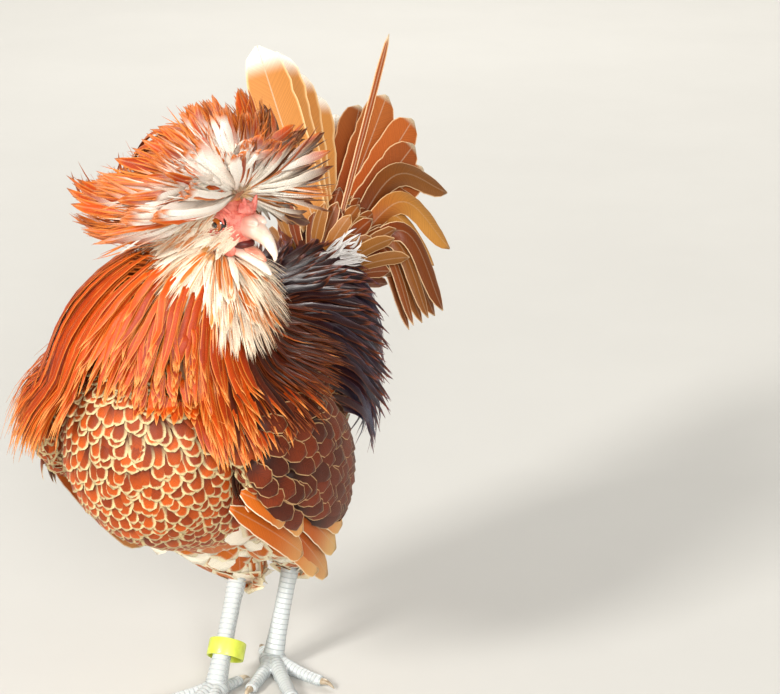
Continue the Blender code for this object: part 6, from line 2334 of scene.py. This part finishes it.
@dataclass
class LegBand:
    """The flat plastic ring round the right shank."""

    shop: Workshop
    radius: float = 0.0135
    wall: float = 0.0014
    height: float = 0.0125
    corner: float = 0.0005
    share: float = 0.30  # how far up the shank it hangs, from ankle to hock

    # Thin moulded plastic, acid yellow: the one made thing on the bird.
    PLASTIC = Hide("band_plastic", "#E4F06A", "#B8C42A", grain_mm=6.0, bump_mm=0.02, roughness=0.35,
                   coat=0.2, subsurface=0.1)

    def build(self) -> None:
        """Turns a rounded section round the shank's axis."""
        ankle, hock = np.array((*FOOT_AT[RIGHT], Leg.ANKLE_RADIUS)), np.array(HOCK_AT[RIGHT])
        axis = unit(hock - ankle)
        sideways = unit(np.cross(axis, OUT))
        slack = self.radius - self.wall - Leg.SHANK_RADIUS - Leg.PLATE
        middle = ankle + (hock - ankle) * self.share + sideways * slack
        x = unit(np.cross(sideways, axis))
        corner, sides = self.corner, 96
        t = turns(24) + math.pi / 24
        inner, outer = self.radius - self.wall, self.radius
        r = np.where(np.cos(t) > 0, outer - corner, inner + corner) + corner * np.cos(t)
        h = np.sign(np.sin(t)) * (self.height / 2 - corner) + corner * np.sin(t)
        ways = np.cos(turns(sides))[:, None] * x + np.sin(turns(sides))[:, None] * sideways
        verts = middle + (ways[:, None] * r[:, None] + axis * h[:, None]).reshape(-1, 3)
        quads = grid_faces(sides, len(t))
        last = grid_faces(2, len(t))
        wrap = np.where(last < len(t), last + (sides - 1) * len(t), last - len(t))
        band = self.shop.mesh("leg_band_fine", Shape(verts, [np.vstack([quads, wrap])[:, ::-1]]))
        self.shop.keep(painted(band, self.PLASTIC), "band_plastic", "leg_band")


# ---------------------------------------------------------------------- the studio
@dataclass
class Studio:
    """A pale floor, a pale surround, three soft lamps and the camera."""

    shop: Workshop

    # Matt seamless paper, warm and pale.
    FLOOR = Hide("studio_floor", "#CFCECA", "#C8C7C3", grain_mm=400.0, bump_mm=0.0, roughness=0.9)
    SKY, SKY_POWER = (0.97, 0.95, 0.92, 1.0), 0.36
    # Name, place, aim, side, watts and linear colour of each lamp.
    LAMPS = (("key", (-1.7, -5.4, 3.4), (0.0, -0.05, 0.28), 1.4, 400.0, (1.0, 0.97, 0.92)),
             ("fill", (3.2, -4.6, 2.4), (0.0, 0.0, 0.25), 2.0, 290.0, (1.0, 0.98, 0.95)),
             ("rim", (-1.6, 3.8, 3.4), (0.0, 0.0, 0.30), 1.6, 150.0, (1.0, 0.97, 0.92)))
    CAMERA_AT = (0.7608, -1.3178, 0.7144)  # in the bird's axes
    AZIMUTH, ELEVATION = 25.84, 16.919  # degrees off the front and up, from bird to camera
    LENS, SENSOR = 105.49, 36.0  # millimetres

    def build(self) -> None:
        """Sets up floor, light and camera."""
        floor = painted(self.shop.mesh("floor", self.bowl()), self.FLOOR)
        world = bpy.data.worlds.new("studio")
        world.use_nodes = True
        background = world.node_tree.nodes["Background"]
        background.inputs["Color"].default_value = self.SKY
        background.inputs["Strength"].default_value = self.SKY_POWER
        bpy.context.scene.world = world
        for lamp in self.LAMPS:
            self.lamp(*lamp)
        self.camera()
        view = bpy.context.scene.view_settings
        view.view_transform = "Standard"
        view.look = "None"

    def bowl(self) -> Shape:
        """The floor: a disc whose rim curves up to a wall all round.

        Returns:
            The bowl, with its faces turned to its inside.
        """
        bend = np.radians(np.linspace(0.0, 90.0, 16))
        radius = np.concatenate([[0.02, 2.0, 5.0], 8.0 + 2.0 * np.sin(bend), [10.0]])
        height = np.concatenate([[0.0] * 3, 2.0 - 2.0 * np.cos(bend), [9.0]])
        sides = 72
        ring = np.stack([np.cos(turns(sides)), np.sin(turns(sides)), np.zeros(sides)], -1)
        verts = radius[:, None, None] * ring + height[:, None, None] * UP
        faces = [grid_faces(len(radius), sides)[:, ::-1], np.arange(sides)[None]]
        return Shape(verts.reshape(-1, 3), faces)

    def lamp(self, name: str, at: tuple[float, ...], aim: tuple[float, ...], size: float,
             power: float, colour: tuple[float, ...]) -> None:
        """Adds one square area lamp that points at a place.

        Args:
            name: Its name.
            at: Where it stands.
            aim: Where it points.
            size: Length of its side.
            power: Its power in watts.
            colour: Its colour, linear.
        """
        light = bpy.data.lights.new(name, "AREA")
        light.size, light.energy, light.color = size, power, colour
        obj = bpy.data.objects.new(name, light)
        bpy.context.scene.collection.objects.link(obj)
        obj.location = Vector(at)
        obj.rotation_euler = (Vector(aim) - Vector(at)).to_track_quat("-Z", "Y").to_euler()

    def camera(self) -> None:
        """Stands the camera in front of the breast, on the bird's left."""
        a, e = math.radians(self.AZIMUTH), math.radians(self.ELEVATION)
        data = bpy.data.cameras.new("camera")
        data.lens, data.sensor_width = self.LENS, self.SENSOR
        obj = bpy.data.objects.new("camera", data)
        bpy.context.scene.collection.objects.link(obj)
        obj.location = Vector(np.array(self.CAMERA_AT) + self.shop.offset)
        away = Vector((math.sin(a) * math.cos(e), -math.cos(a) * math.cos(e), math.sin(e)))
        obj.rotation_euler = (-away).to_track_quat("-Z", "Y").to_euler()
        bpy.context.scene.camera = obj


def main() -> None:
    """Builds the cock piece by piece and then the studio round it."""
    logging.basicConfig(level=logging.INFO, format="%(message)s")
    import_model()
    middle = sum(np.array(corner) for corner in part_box("eye_right")) / 2
    eye = in_head(Head.EYE_AT * (1, RIGHT, 1))
    shop = Workshop(middle - eye, np.random.default_rng(SEED))
    skin = Skin(shop)
    skin.build()
    BodyCoat(shop, skin).build()
    for word, side in (("right", RIGHT), ("left", LEFT)):
        Wing(shop, skin, word, side).build()
    covers = [Surface.of(wing_loft(side).shape(24, 40, grow)) for side, grow in COVER_OFF.items()]
    torso = Surface.of(TORSO.shape(32, 48))
    bell = Surface.of(BELL.shape(24, 40))
    Saddle(shop, skin).build(Ground([skin.body, torso, bell, *covers]))
    mantle = Surface.of(MANTLE.shape(40, 64))
    Cape(shop, skin).build(Ground([skin.body, torso, bell, mantle]))
    Tail(shop, skin).build()
    Crest(shop, skin).build()
    Beard(shop, skin).build()
    Head(shop).build()
    for word, side in (("right", RIGHT), ("left", LEFT)):
        Leg(shop, word, side).build()
    LegBand(shop).build()
    Studio(shop).build()


if __name__ == "__main__":
    main()
